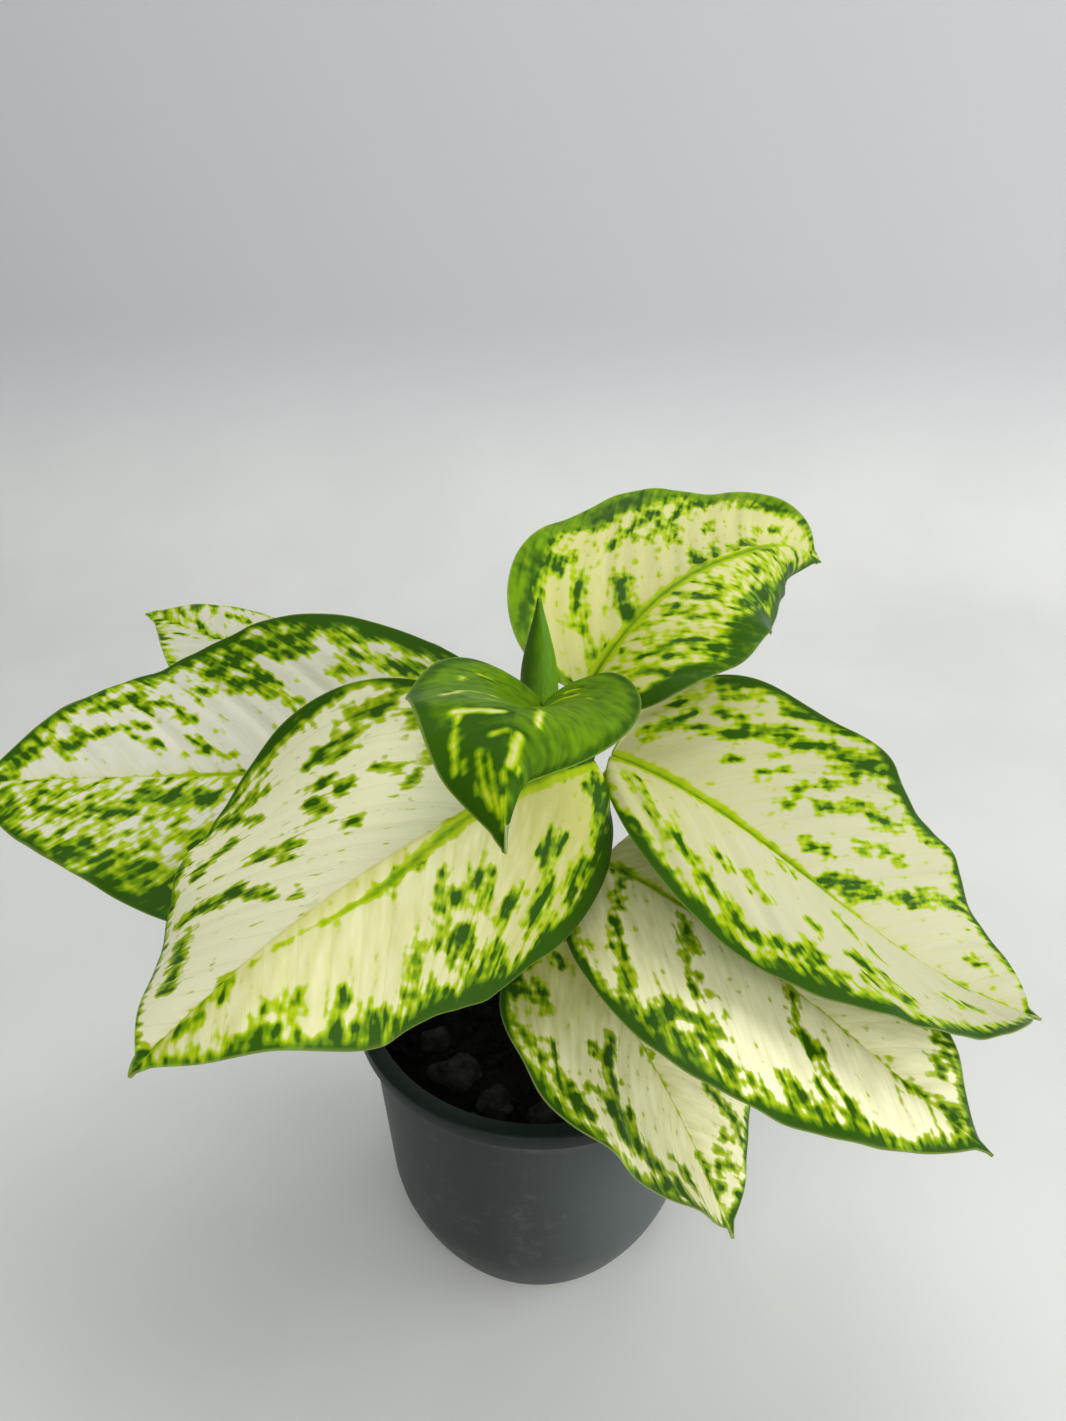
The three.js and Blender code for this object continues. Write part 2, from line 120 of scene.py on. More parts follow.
# x, y and the share of the full size
LUMPS = (
    (-24, -21, 1.15), (-12, -31, 1), (-31, -8, 0.8), (4, -36, 1.1), (-18, -38, 0.7), (26, -24, 0.9),
    (36, 2, 1), (-38, 12, 0.9), (-18, 34, 1.1), (22, 33, 0.8),
)

# -------- leaf markings


def rgb(red, green, blue):
    return (red, green, blue, 1.0)


# The cream as it looks in shade, used for painted shade and light shining through the leaf.
SHADED_CREAM = rgb(0.49, 0.48, 0.15)
YELLOW_GREEN = rgb(0.36, 0.47, 0.005)
MID_GREEN = rgb(0.125, 0.25, 0.002)
DARK_GREEN = rgb(0.026, 0.082, 0.002)
UNDERSIDE = rgb(0.42, 0.50, 0.27)
# Colour of the painted highlight along every blade's edge.
EDGE_HIGHLIGHT = rgb(0.45, 0.56, 0.10)

# How each leaf is marked. These have a value for the left half and one for the right:
#   margin: width of the dark edge at base, middle and tip
#   mottle, tint: how blotched the half is, and how much yellower, as painted shade
#   depth: how dark its margin gets
# and these are for the whole blade:
#   cream, warm: its ground colour, paler on the two lowest leaves as painted light, and how far painted
#       shade and light through the leaf yellow it at the base and further out
#   rib: half width of the green midrib at the base, and the share of the length where it has faded
#   bend: how far the midrib wanders to the right
#   soft: over how many millimetres a stroke fades out
#   smooth, gloss: share of the usual relief, and how strongly it mirrors
#   green: the ground is green and the strokes are cream
MARKINGS = {
    # Painted light: bottom_centre and lower_right, the two lowest leaves, get the palest cream, to stand for
    # light where they lie in shade.
    "bottom_centre": dict(
        seed=1, cream=rgb(0.90, 0.87, 0.57), warm=(0.95, 0.2), rib=(0.8, 0.4),
        margin=((1.5, 2.5, 3.5), (5, 3, 2.5)), mottle=(0.25, 0.3),
    ),
    "lower_right": dict(
        seed=2, cream=rgb(0.90, 0.87, 0.57), warm=(0.7, 0.1), rib=(1.0, 0.4),
        margin=((2, 3, 3), (4, 4.5, 3)), mottle=(0.3, 0.3),
    ),
    "back_left": dict(
        seed=3, cream=rgb(0.54, 0.525, 0.42), warm=(0.5, 0), rib=(1.2, 0.7),
        margin=((4, 2.5, 1.2), (3, 2, 0.8)), mottle=(0.3, 0.3),
    ),
    "left": dict(
        seed=4, cream=rgb(0.62, 0.605, 0.49), warm=(0.35, 0), rib=(1.4, 0.7),
        margin=((4, 4, 2.5), (6.5, 4, 3)), mottle=(1.25, 0.35),
    ),
    "right": dict(
        seed=5, cream=rgb(0.52, 0.51, 0.33), warm=(0.6, 0), rib=(2.2, 0.62),
        margin=((2.5, 4, 2), (4, 5, 3)), mottle=(0.25, 0.2),
    ),
    "front_left": dict(
        seed=6, cream=rgb(0.76, 0.745, 0.49), warm=(0.7, 0.05), rib=(2.5, 0.68), bend=-4.5,
        margin=((10, 4.5, 2), (7, 3, 2.5)), mottle=(0.25, 0.35), tint=(0.5, -0.2),
    ),
    "upper_right": dict(
        seed=7, cream=rgb(0.58, 0.57, 0.27), warm=(0.8, 0.3), rib=(1.8, 0.85), bend=1.5,
        margin=((10, 6, 1.5), (7, 8, 2)), mottle=(0.55, 1.2), depth=(0.85, 1.2),
    ),
    "centre": dict(
        seed=8, cream=rgb(0.76, 0.735, 0.46), warm=(0.6, 0.6), rib=(0.3, 0.2),
        margin=((0, 0, 0), (0, 0, 0)), mottle=(0.12, 0.34), soft=1.5, smooth=0.3, gloss=0.05, green=True,
    ),
}

# Single blotches, each from (u, v) to (u, v) in hundredths with a half width in millimetres: u runs
# from -100 at the left edge to 100 at the right, and v from 0 at the base to 100 at the tip.
STROKES = {
    "bottom_centre": (
        (80, 8, 78, 10, 1.6), (60, 11, 62, 17, 1.7), (70, 12, 66, 15, 1.2), (90, 18, 86, 26, 1),
        (72, 26, 78, 32, 1.2), (80, 33, 87, 42, 2), (22, 34, 40, 38, 1.2), (40, 38, 48, 43, 2.1),
        (42, 33, 42, 34, 0.8), (66, 39, 64, 42, 1.1), (2, 42, 0, 44, 0.6), (64, 47, 74, 52, 3.2),
        (52, 50, 62, 54, 1.1), (70, 55, 74, 63, 1.8), (86, 66, 84, 70, 2.6), (50, 70, 62, 76, 1),
        (2, 75, -2, 90, 0.8), (-30, 80, -12, 86, 1), (-38, 57, -55, 67, 1.1), (-60, 66, -80, 74, 2),
        (-42, 73, -60, 74, 1), (-32, 77, -70, 83, 0.9), (-75, 20, -60, 24, 1.6), (-80, 40, -70, 46, 2),
        (-30, 34, -36, 38, 1.2), (90, 2, 95, 10, 2), (35, 5, 30, 8, 1.2),
    ),
    "lower_right": (
        (0, 6, 4, 9, 1.9), (12, 8, 50, 15, 0.6), (50, 14, 74, 21, 0.8), (76, 21, 86, 26, 1.1),
        (86, 29, 72, 33, 2.2), (72, 34, 68, 41, 2), (90, 33, 90, 41, 1.9), (78, 39, 86, 46, 1.4),
        (82, 43, 90, 54, 0.8), (10, 25, 45, 33, 0.6), (45, 33, 62, 37, 1), (27, 29, 26, 31, 1.2),
        (2, 52, 36, 56, 0.7), (36, 57, 42, 61, 1.7), (45, 60, 60, 66, 0.9), (60, 66, 84, 71, 0.8),
        (76, 57, 84, 62, 1.9), (66, 62, 78, 67, 0.7), (90, 71, 95, 77, 1.9), (2, 78, -2, 85, 0.9),
        (-20, 86, -20, 88, 1), (-30, 89, 10, 92, 1.9), (-60, 79, -62, 81, 1.1), (-78, 73, -90, 83, 1.2),
        (-50, 23, -70, 31, 1.7), (-30, 44, -50, 50, 1.4), (-85, 43, -80, 52, 2),
    ),
    "back_left": (
        (40, 88, 32, 84, 1.2), (70, 78, 60, 74, 1), (2, 83, -4, 79, 0.8), (-50, 85, -55, 83, 1),
        (-20, 92, 10, 88, 0.8), (30, 93, 10, 96, 0.8), (80, 30, 60, 42, 3), (50, 52, 70, 60, 2.4),
        (-80, 30, -55, 36, 3), (-70, 50, -85, 60, 2.6), (25, 20, 45, 26, 2), (-30, 16, -50, 22, 2),
        (-35, 60, -50, 66, 1.6), (30, 66, 40, 70, 1.4),
    ),
    "left": (
        (86, 22, 84, 26, 1.9), (76, 22, 76, 26, 1.4), (74, 15, 72, 19, 2), (62, 28, 62, 24, 0.8),
        (85, 32, 88, 42, 2.5), (78, 31, 78, 38, 1.2), (84, 42, 78, 50, 2.9), (68, 56, 62, 48, 1),
        (66, 47, 60, 42, 2.2), (58, 42, 46, 37, 1.3), (74, 44, 60, 40, 1.3), (50, 59, 46, 57, 0.9),
        (68, 66, 66, 61, 1.3), (82, 74, 80, 64, 1.5), (60, 77, 45, 64, 0.6), (42, 69, 28, 64, 0.5),
        (45, 82, 56, 77, 1.6), (26, 58, 20, 54, 1), (12, 52, 12, 50, 0.7), (70, 85, 60, 95, 1.4),
        (20, 93, 40, 97, 1.4), (-22, 65, -22, 54, 2.7), (-44, 73, -42, 62, 1.5), (-34, 72, -30, 66, 0.8),
        (-10, 69, -6, 65, 0.7), (-60, 86, -52, 68, 1), (-78, 70, -76, 52, 1.4), (-90, 72, -90, 48, 2.5),
        (-50, 52, -70, 42, 2.5), (-30, 30, -50, 34, 1.7), (-80, 25, -70, 30, 2.1), (-50, 92, -70, 85, 1.4),
        (-30, 85, -34, 82, 0.8), (35, 14, 50, 20, 1.5),
    ),
    "right": (
        (-95, 6, -96, 14, 1.6), (-82, 10, -88, 16, 0.6), (-66, 12, -66, 15, 1.4), (-54, 16, -74, 23, 2),
        (-70, 24, -80, 31, 1.6), (-80, 33, -90, 40, 2.3), (-90, 20, -93, 25, 1.4), (-55, 26, -52, 28, 0.7),
        (-37, 20, -38, 21, 0.9), (-46, 10, -50, 12, 1.2), (-35, 4, -60, 8, 1.3), (-70, 5, -85, 7, 1.1),
        (-30, 33, -34, 34, 1.2), (-34, 34, -48, 33, 0.9), (-40, 26, -50, 29, 0.5), (-60, 35, -62, 37, 1),
        (-72, 34, -76, 38, 1), (-42, 38, -62, 43, 0.9), (-64, 43, -76, 52, 1.4), (-19, 42, -24, 46, 1.2),
        (-45, 50, -47, 52, 0.7), (-55, 54, -60, 58, 1.2), (-4, 50, -28, 60, 1.7), (-10, 51, -18, 55, 2.3),
        (-8, 55, -34, 63, 1.1), (-36, 64, -60, 70, 1.9), (-56, 68, -85, 76, 1.1), (-40, 84, -42, 87, 1),
        (35, 3, 55, 12, 0.7), (55, 12, 74, 23, 1.2), (74, 23, 86, 34, 1.2), (82, 36, 74, 43, 1.6),
        (76, 42, 84, 50, 1.2), (48, 24, 52, 28, 0.5), (48, 31, 54, 35, 0.5), (10, 40, 12, 42, 0.8),
        (50, 44, 54, 46, 0.9), (60, 53, 64, 58, 1.4), (75, 54, 78, 62, 1.2), (25, 52, 45, 60, 0.3),
        (55, 75, 60, 82, 0.8), (5, 82, 10, 86, 0.6),
    ),
    "front_left": (
        (-38, 17, -42, 20, 2.6), (-46, 18, -52, 20, 1), (-62, 11, -72, 15, 2.2), (-62, 20, -72, 24, 2.6),
        (-55, 27, -60, 31, 1.8), (-32, 33, -36, 36, 1.4), (-44, 34, -50, 36, 1.4), (-28, 43, -40, 45, 1.6),
        (-36, 42, -42, 40, 1.6), (-62, 40, -60, 45, 2.2), (-70, 38, -72, 44, 1.3), (-80, 32, -86, 38, 2.6),
        (-58, 51, -80, 53, 1.3), (-80, 54, -88, 46, 1.6), (-90, 56, -88, 68, 2), (-68, 65, -70, 67, 1.2),
        (-84, 76, -88, 80, 1.8), (-30, 86, -24, 90, 0.9), (-6, 81, -8, 82, 1.2), (-60, 73, -64, 78, 0.8),
        (-12, 52, -16, 53, 1), (84, 26, 80, 33, 1.2), (72, 33, 70, 35, 1.4), (70, 36, 74, 39, 1.3),
        (58, 41, 62, 42, 1.3), (50, 40, 50, 41, 1), (48, 35, 42, 34, 1), (68, 27, 64, 26, 0.9),
        (56, 45, 48, 46, 1.9), (30, 46, 31, 47, 1.1), (46, 54, 54, 58, 1.6), (40, 57, 42, 58, 0.9),
        (76, 50, 94, 51, 1.2), (78, 56, 84, 66, 1.4), (86, 44, 92, 50, 1.4), (30, 66, 50, 68, 1.6),
        (50, 68, 78, 75, 2.2), (13, 64, 15, 65, 1), (70, 78, 50, 87, 1.5), (40, 30, 30, 36, 0.5),
        (20, 8, 50, 16, 2), (60, 10, 80, 20, 2.4), (-30, 3.5, -60, 4, 4.5), (-60, 4, -90, 8, 5),
    ),
    "upper_right": (
        (-85, 6, -80, 16, 3), (-74, 17, -70, 20, 2.2), (-62, 18, -58, 19, 0.6), (-50, 20, -40, 15, 1.1),
        (-40, 14, -26, 12, 1.1), (-20, 10, -12, 9, 0.9), (-34, 27, -35, 28, 1.1),
        (-27, 26.5, -6, 21.5, 2.6), (-60, 31, -70, 40, 1.2), (-70, 40, -76, 47, 1.5),
        (-90, 32, -92, 45, 3.2), (-55, 43, -80, 55, 1), (-80, 55, -88, 61, 1.7), (-57, 50, -42, 47, 1.2),
        (-58, 38, -58, 39, 0.8), (-50, 41, -56, 43, 0.9), (-17, 47, -2, 46, 1.9), (-20, 54, -2, 51, 1.1),
        (-50, 59, -46, 58, 0.7), (-2, 57, -10, 66, 1.1), (-30, 70, -36, 78, 0.6), (-90, 66, -85, 74, 1),
        (20, 25, 20, 30, 1.1), (30, 12, 60, 24, 1.2), (62, 42, 66, 58, 2.8), (56, 46, 60, 52, 2),
        (32, 52, 40, 60, 0.9), (55, 16, 80, 26, 1.3), (10, 66, 20, 72, 0.8), (30, 68, 60, 76, 0.8),
        (44, 8, 56, 12, 0.8), (30, 34, 42, 40, 0.7), (50, 32, 62, 38, 0.7),
    ),
    "centre": (
        (66, 15, 50, 14, 0.2), (70, 22, 68, 24, 0.3), (70, 48, 58, 37, 0.7), (58, 37, 40, 34, 0.5),
        (40, 34, 15, 36, 0.2), (50, 50, 25, 50, 0.1), (62, 60, 15, 60, 0.9), (60, 62, 70, 68, 0.4),
        (70, 68, 80, 76, 0.5), (68, 75, 70, 77, 0.4), (22, 70, 8, 69, 0.8), (44, 74, 48, 83, 0.3),
        (48, 83, 42, 88, 0.3), (30, 76, 28, 86, 0.2), (28, 86, 22, 91, 0.3), (-12, 70, -5, 79, 0.9),
        (-25, 79, -25, 80, 0.4), (6, 81, 5, 83, 0.3), (8, 87, 10, 94, 0.3), (-22, 52, -27, 61, 0.6),
        (-20, 13, -45, 15, 0.2), (-38, 9, -50, 10, 0.1), (-52, 20, -56, 22, 0.1), (60, 81, 62, 83, 0.2),
    ),
}

# -------- helpers


def smoothstep(low, high, x):
    t = np.clip((x - low) / (high - low), 0, 1)
    return t * t * (3 - 2 * t)


def along(values, v):
    """A value given at base and tip, or at base, middle and tip, read at v from 0 to 1."""
    if len(values) == 2:
        return values[0] + (values[1] - values[0]) * v
    a, b, c = values
    return a * (1 - v) * (1 - 2 * v) + 4 * b * v * (1 - v) + c * v * (2 * v - 1)


def unit(vectors):
    return vectors / np.maximum(np.linalg.norm(vectors, axis=-1, keepdims=True), 1e-9)


def polar(radius, angle, height):
    """A point round the pot's axis, from an angle in radians."""
    return (radius * math.cos(angle), radius * math.sin(angle), height)


def angles_round(count):
    return np.linspace(0, FULL_TURN, count, endpoint=False)


def finish_piece(obj, node):
    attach(obj, "root")
    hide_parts(node)


def mesh_object(name, points, faces, materials):
    """A new smooth object from points in millimetres; faces hold point numbers and face out."""
    mesh = bpy.data.meshes.new(name)
    mesh.from_pydata((np.asarray(points, float) * MM).tolist(), [], [tuple(f) for f in faces])
    mesh.polygons.foreach_set("use_smooth", [True] * len(mesh.polygons))
    for material in materials:
        mesh.materials.append(material)
    mesh.update()
    obj = bpy.data.objects.new(name, mesh)
    bpy.context.scene.collection.objects.link(obj)
    return obj


def grid_faces(rows, columns, start=0, flip=False, wrap=False):
    faces = []
    for r in range(rows - 1):
        for c in range(columns if wrap else columns - 1):
            a = start + r * columns + c
            b = start + r * columns + (c + 1) % columns
            face = (a, b, b + columns, a + columns)
            faces.append(face[::-1] if flip else face)
    return faces


def tube(centres, radii, sides, shape=None):
    """Rings round a line of centres, closed at both ends; shape(angle, row) scales the radius."""
    centres = np.asarray(centres, float)
    ahead = unit(np.gradient(centres, axis=0))
    side = np.cross(ahead[0], (0.3, 0.9, 0.1))
    angles = angles_round(sides)
    points = []
    for row, (centre, forward, radius) in enumerate(zip(centres, ahead, radii)):
        side = unit(side - forward * np.dot(side, forward))
        up = np.cross(forward, side)
        scale = np.array([shape(angle, row) for angle in angles]) if shape else np.ones(sides)
        ring = np.cos(angles)[:, None] * side + np.sin(angles)[:, None] * up
        points.append(centre + ring * (radius * scale)[:, None])
    rows = len(points)
    points = np.concatenate(points + [centres[:1], centres[-1:]])
    faces = grid_faces(rows, sides, wrap=True)
    first, last = rows * sides, rows * sides + 1
    for i in range(sides):
        j = (i + 1) % sides
        faces.append((first, j, i))
        faces.append((last, (rows - 1) * sides + i, (rows - 1) * sides + j))
    return points, faces


def joined(parts):
    """Several (points, faces) as one."""
    points, faces, count = [], [], 0
    for part_points, part_faces in parts:
        points.append(part_points)
        faces += [tuple(i + count for i in face) for face in part_faces]
        count += len(part_points)
    return np.concatenate(points), faces


def bezier(p0, p1, p2, p3, steps):
    t = np.linspace(0, 1, steps)[:, None]
    p0, p1, p2, p3 = (np.asarray(p, float) for p in (p0, p1, p2, p3))
    return (1 - t) ** 3 * p0 + 3 * (1 - t) ** 2 * t * p1 + 3 * (1 - t) * t ** 2 * p2 + t ** 3 * p3


def noise_at(points, size, seed):
    """Smooth noise from about -1 to 1 at each point, with features of the given size."""
    shift = Vector((seed * 17.3, seed * 5.7, seed * 11.9))
    return np.array([noise.noise(Vector(p) / size + shift) for p in np.asarray(points, float).tolist()])


def store(mesh, name, values):
    """Keeps a number on each point for the materials; points past the last value get 0."""
    full = np.zeros(len(mesh.vertices))
    full[: len(values)] = values
    mesh.attributes.new(name, "FLOAT", "POINT").data.foreach_set("value", full)


def store_veins(mesh, across, ahead):
    """Keeps the coordinates that markings follow: across a blade and along its side veins."""
    full = np.zeros((len(mesh.vertices), 2))
    full[: len(across)] = np.stack([across, ahead], 1)
    corners = np.empty(len(mesh.loops), int)
    mesh.loops.foreach_get("vertex_index", corners)
    mesh.uv_layers.new(name="veins").data.foreach_set("uv", full[corners].ravel())


# -------- materials

VEIN_SPACING = 8.5  # between side veins, in millimetres
LEFT_VEINS = 0.37  # how far the left half's veins are moved along, as a share of their spacing
VEIN_UNIT = 10  # millimetres in one unit of the vein coordinates
VEIN_NOISE = 10.0  # scale of the noises laid along the veins
# Where each green of a marking sets in and is full, for paint that is 0.5 at its edge.
GREEN_STEPS = Named(fringe=(-0.05, 0.36), core=(0.3, 0.85), deep=(0.74, 1.22))
POT_COLORS = Named(
    plain=rgb(0.005, 0.011, 0.009), scuffed=rgb(0.017, 0.024, 0.022), streak=rgb(0.008, 0.014, 0.012),
    handled=rgb(0.09, 0.11, 0.108), dust=rgb(0.10, 0.11, 0.105), under_rim=rgb(0.12, 0.115, 0.10),
    rim=rgb(0.001, 0.008, 0.0065),
)


class Shader:
    """A new material's node tree with short calls to add nodes to it."""

    def __init__(self, name):
        self.material = bpy.data.materials.new(name)
        self.material.use_nodes = True
        self.tree = self.material.node_tree
        self.surface = self.tree.nodes["Principled BSDF"]

    def add(self, kind, inputs=None, **settings):
        node = self.tree.nodes.new(kind)
        for key, value in settings.items():
            setattr(node, key, value)
        for key, value in (inputs or {}).items():
            self.put(value, node.inputs[key])
        return node

    def put(self, value, socket):
        if isinstance(value, bpy.types.NodeSocket):
            self.tree.links.new(value, socket)
        else:
            socket.default_value = value

    def math(self, operation, *values, clamp=False):
        node = self.add("ShaderNodeMath", operation=operation, use_clamp=clamp)
        for i, value in enumerate(values):
            self.put(value, node.inputs[i])
        return node.outputs[0]

    def scaled(self, value, factor, plus=None):
        if plus is None:
            return self.math("MULTIPLY", value, factor)
        return self.math("MULTIPLY_ADD", value, factor, plus)

    def swing(self, value, factor, plus=None):
        """A noise moved to run about 0, and then scaled."""
        return self.scaled(self.math("SUBTRACT", value, 0.5), factor, plus)

    def attribute(self, name):
        return self.add("ShaderNodeAttribute", attribute_name=name).outputs["Fac"]

    def noise(self, vector, scale, detail=3.0, roughness=0.5):
        inputs = {"Vector": vector, "Scale": scale, "Detail": detail, "Roughness": roughness}
        return self.add("ShaderNodeTexNoise", inputs).outputs["Fac"]

    def mapped(self, vector, scale, location=(0, 0, 0)):
        inputs = {"Vector": vector, "Scale": scale, "Location": location}
        return self.add("ShaderNodeMapping", inputs).outputs[0]

    def place(self):
        return self.add("ShaderNodeTexCoord").outputs["Object"]

    def veins(self):
        return self.add("ShaderNodeUVMap", uv_map="veins").outputs[0]

    def split(self, vector):
        return self.add("ShaderNodeSeparateXYZ", {"Vector": vector}).outputs

    def step(self, value, low, high):
        inputs = {"Value": value, "From Min": low, "From Max": high}
        return self.add("ShaderNodeMapRange", inputs, interpolation_type="SMOOTHSTEP").outputs[0]

    def mix(self, factor, a, b, strength=None):
        """Colour a turning to b where factor is 1, or only as far as strength."""
        if strength is not None:
            factor = self.scaled(factor, strength)
        node = self.add("ShaderNodeMix", data_type="RGBA")
        self.put(factor, node.inputs[0])
        self.put(a, node.inputs[6])
        self.put(b, node.inputs[7])
        return node.outputs[2]

    def bump(self, height, strength, distance):
        inputs = {"Height": height, "Strength": strength, "Distance": distance}
        self.put(self.add("ShaderNodeBump", inputs).outputs[0], self.surface.inputs["Normal"])

    def finish(self, color, roughness, gloss=0.5, refraction=1.5):
        values = {
            "Base Color": color, "Roughness": roughness, "Specular IOR Level": gloss, "IOR": refraction,
        }
        for key, value in values.items():
            self.put(value, self.surface.inputs[key])
        return self.material


def vein_lines(s, veins):
    """1 on each side vein and 0 beside it."""
    across, ahead, _ = s.split(veins)
    left_half = s.math("LESS_THAN", across, 0.0)
    shift = s.scaled(left_half, LEFT_VEINS)
    turns = s.scaled(ahead, VEIN_UNIT / VEIN_SPACING, shift)
    return s.step(s.math("PINGPONG", turns, 0.5), 0.045, 0.0)


def leaf_material(name, seed, cream, gloss):
    """A cream blade with green markings drawn out along the side veins, each with a paler fringe."""
    s = Shader(name)
    veins = s.veins()
    large = s.noise(s.mapped(veins, (0.15, 0.3, 1), (seed, seed * 2.3, 0)), VEIN_NOISE, 1.0)
    small = s.noise(s.mapped(veins, (0.36, 0.54, 1), (seed, 4.7, 0)), VEIN_NOISE, 1.0)
    fine = s.noise(s.mapped(veins, (0.9, 2.6, 1), (seed, 3.1, 0)), VEIN_NOISE, 2.0)
    lumps = s.noise(s.place(), 360.0, 0.8)
    break_up = s.attribute("break_up")
    ragged = s.swing(lumps, 2.0, s.swing(small, 1.1, s.swing(large, 2.2)))
    field = s.scaled(ragged, break_up, s.attribute("paint"))
    deeper = s.scaled(s.swing(large, break_up), 1.2, field)
    # Painted shade and light shining through the leaf: the cream turns to the shaded yellow cream at the
    # base, along the midrib and over one half of front_left.
    painted_shade_yellow = s.math("ADD", s.attribute("yellow"), s.swing(large, 0.9), clamp=True)
    color = s.mix(painted_shade_yellow, cream, SHADED_CREAM)
    color = s.mix(s.step(fine, 0.4, 0.8), color, SHADED_CREAM, 0.09)
    color = s.mix(vein_lines(s, veins), color, YELLOW_GREEN, 0.18)
    color = s.mix(s.step(field, *GREEN_STEPS.fringe), color, YELLOW_GREEN)
    color = s.mix(s.step(field, *GREEN_STEPS.core), color, MID_GREEN)
    color = s.mix(s.step(deeper, *GREEN_STEPS.deep), color, DARK_GREEN)
    under = s.attribute("under")
    color = s.mix(under, color, UNDERSIDE, 0.45)
    # Painted highlight: a thin pale line along the blade's edge.
    color = s.mix(s.attribute("painted_edge_highlight"), color, EDGE_HIGHLIGHT)
    rough = s.scaled(small, 0.18, s.scaled(under, 0.2, 0.27))
    s.bump(s.scaled(fine, 0.5, s.scaled(small, 0.5)), 0.35, 0.0004)
    return s.finish(color, rough, gloss, 1.33)


def stalk_material():
    s = Shader("leaf_stalk")
    place = s.place()
    long = s.noise(s.mapped(place, (1, 1, 0.08)), 900.0, 3.0, 0.6)
    patch = s.noise(place, 90.0, 2.0)
    color = s.mix(s.step(patch, 0.35, 0.7), rgb(0.22, 0.36, 0.055), rgb(0.36, 0.46, 0.13))
    color = s.mix(long, color, rgb(0.12, 0.23, 0.03), 0.5)
    s.bump(long, 0.3, 0.0003)
    return s.finish(color, s.scaled(long, 0.2, 0.35), 0.25)


def spear_material():
    s = Shader("rolled_leaf")
    veins = s.veins()
    streak = s.noise(s.mapped(veins, (3.0, 0.25, 1)), VEIN_NOISE, 3.0, 0.6)
    patch = s.noise(s.mapped(veins, (0.8, 0.2, 1), (4, 2, 0)), VEIN_NOISE, 2.0)
    color = s.mix(s.step(streak, 0.35, 0.7), rgb(0.075, 0.20, 0.002), rgb(0.11, 0.26, 0.003))
    color = s.mix(s.step(patch, 0.5, 0.75), color, rgb(0.14, 0.3, 0.02), 0.2)
    # Painted shade on the spear's left side, in a leaf margin's dark green.
    color = s.mix(s.attribute("margin"), color, rgb(0.012, 0.045, 0.001))
    color = s.mix(s.attribute("seam"), color, rgb(0.17, 0.30, 0.05))
    s.bump(streak, 0.2, 0.0003)
    return s.finish(color, s.scaled(streak, 0.15, 0.3), 0.2)


def stem_material():
    s = Shader("stem")
    place = s.place()
    rings = s.noise(s.mapped(place, (0.3, 0.3, 1)), 500.0, 2.0)
    patch = s.noise(place, 160.0, 4.0, 0.6)
    color = s.mix(s.step(patch, 0.3, 0.7), rgb(0.10, 0.15, 0.035), rgb(0.25, 0.27, 0.10))
    color = s.mix(s.step(rings, 0.55, 0.7), color, rgb(0.16, 0.11, 0.05))
    color = s.mix(s.attribute("root"), color, rgb(0.42, 0.33, 0.21))
    s.bump(s.math("ADD", rings, patch), 0.5, 0.0006)
    return s.finish(color, s.scaled(patch, 0.3, 0.45))


def pot_material():
    """Dark plastic, scuffed and dusty, paler towards +X as a painted sheen from light on that side, and
    paler just under the rim.
    """
    s = Shader("pot_plastic")
    place = s.place()
    x, _, z = s.split(place)
    grain = s.noise(place, 1800.0, 2.0, 0.6)
    scuff = s.noise(s.mapped(place, (1, 1, 0.35)), 45.0, 4.0, 0.65)
    dust = s.noise(place, 130.0, 5.0, 0.7)
    streaks = s.noise(s.mapped(place, (1, 1, 0.06)), 120.0, 3.0, 0.6)
    # Painted sheen: the side towards +X is made paler, standing for light falling on it from that side.
    handled = s.step(s.scaled(streaks, 0.02, x), -0.012, 0.05)
    under_rim = s.step(s.scaled(scuff, 0.006, z), 0.084, 0.0895)
    color = s.mix(s.step(scuff, 0.35, 0.75), POT_COLORS.plain, POT_COLORS.scuffed)
    color = s.mix(s.step(streaks, 0.5, 0.75), color, POT_COLORS.streak, 0.5)
    color = s.mix(handled, color, POT_COLORS.handled, 0.75)
    color = s.mix(s.step(dust, 0.54, 0.72), color, POT_COLORS.dust, 0.35)
    color = s.mix(under_rim, color, POT_COLORS.under_rim, 0.6)
    # The rim turns the darkest colour, and the pot's inside walls nearly so as painted shade.
    color = s.mix(s.attribute("rim"), color, POT_COLORS.rim)
    rough = s.scaled(scuff, 0.22, 0.33)
    s.bump(s.scaled(grain, 0.6, s.scaled(dust, 0.4)), 0.25, 0.0003)
    return s.finish(color, rough, 0.35)


def mix_material(name, low, high, scale):
    """Rough earth or stone from low to high, with specks about twice as bright as high."""
    s = Shader(name)
    place = s.place()
    coarse = s.noise(place, scale, 5.0, 0.65)
    fine = s.noise(place, scale * 6, 4.0, 0.7)
    speck = rgb(high[0] * 2.2, high[1] * 2.1, high[2] * 2.0)
    color = s.mix(s.step(coarse, 0.3, 0.75), low, high)
    color = s.mix(s.step(fine, 0.62, 0.8), color, speck)
    s.bump(s.math("ADD", coarse, fine), 0.8, 0.0012)
    return s.finish(color, s.scaled(fine, 0.2, 0.75), 0.15)


def stage_material():
    """Pale stone below and a cooler pale wall above it."""
    s = Shader("stage")
    place = s.place()
    patch = s.step(s.noise(place, 9.0), 0.3, 0.7)
    stone = s.mix(patch, rgb(0.62, 0.62, 0.595), rgb(0.66, 0.66, 0.63))
    wall_share = s.step(s.split(place)[2], 0.0, 0.18)
    return s.finish(s.mix(wall_share, stone, rgb(0.53, 0.545, 0.56)), 0.75)


# -------- pot

POT_SEGMENTS = 144
FOOT_HEIGHTS = [5.5, 8, 11, 15, 19, POT.shoulder_height]
WALL_HEIGHTS = [30, 42, 54, 66, 76, 84]


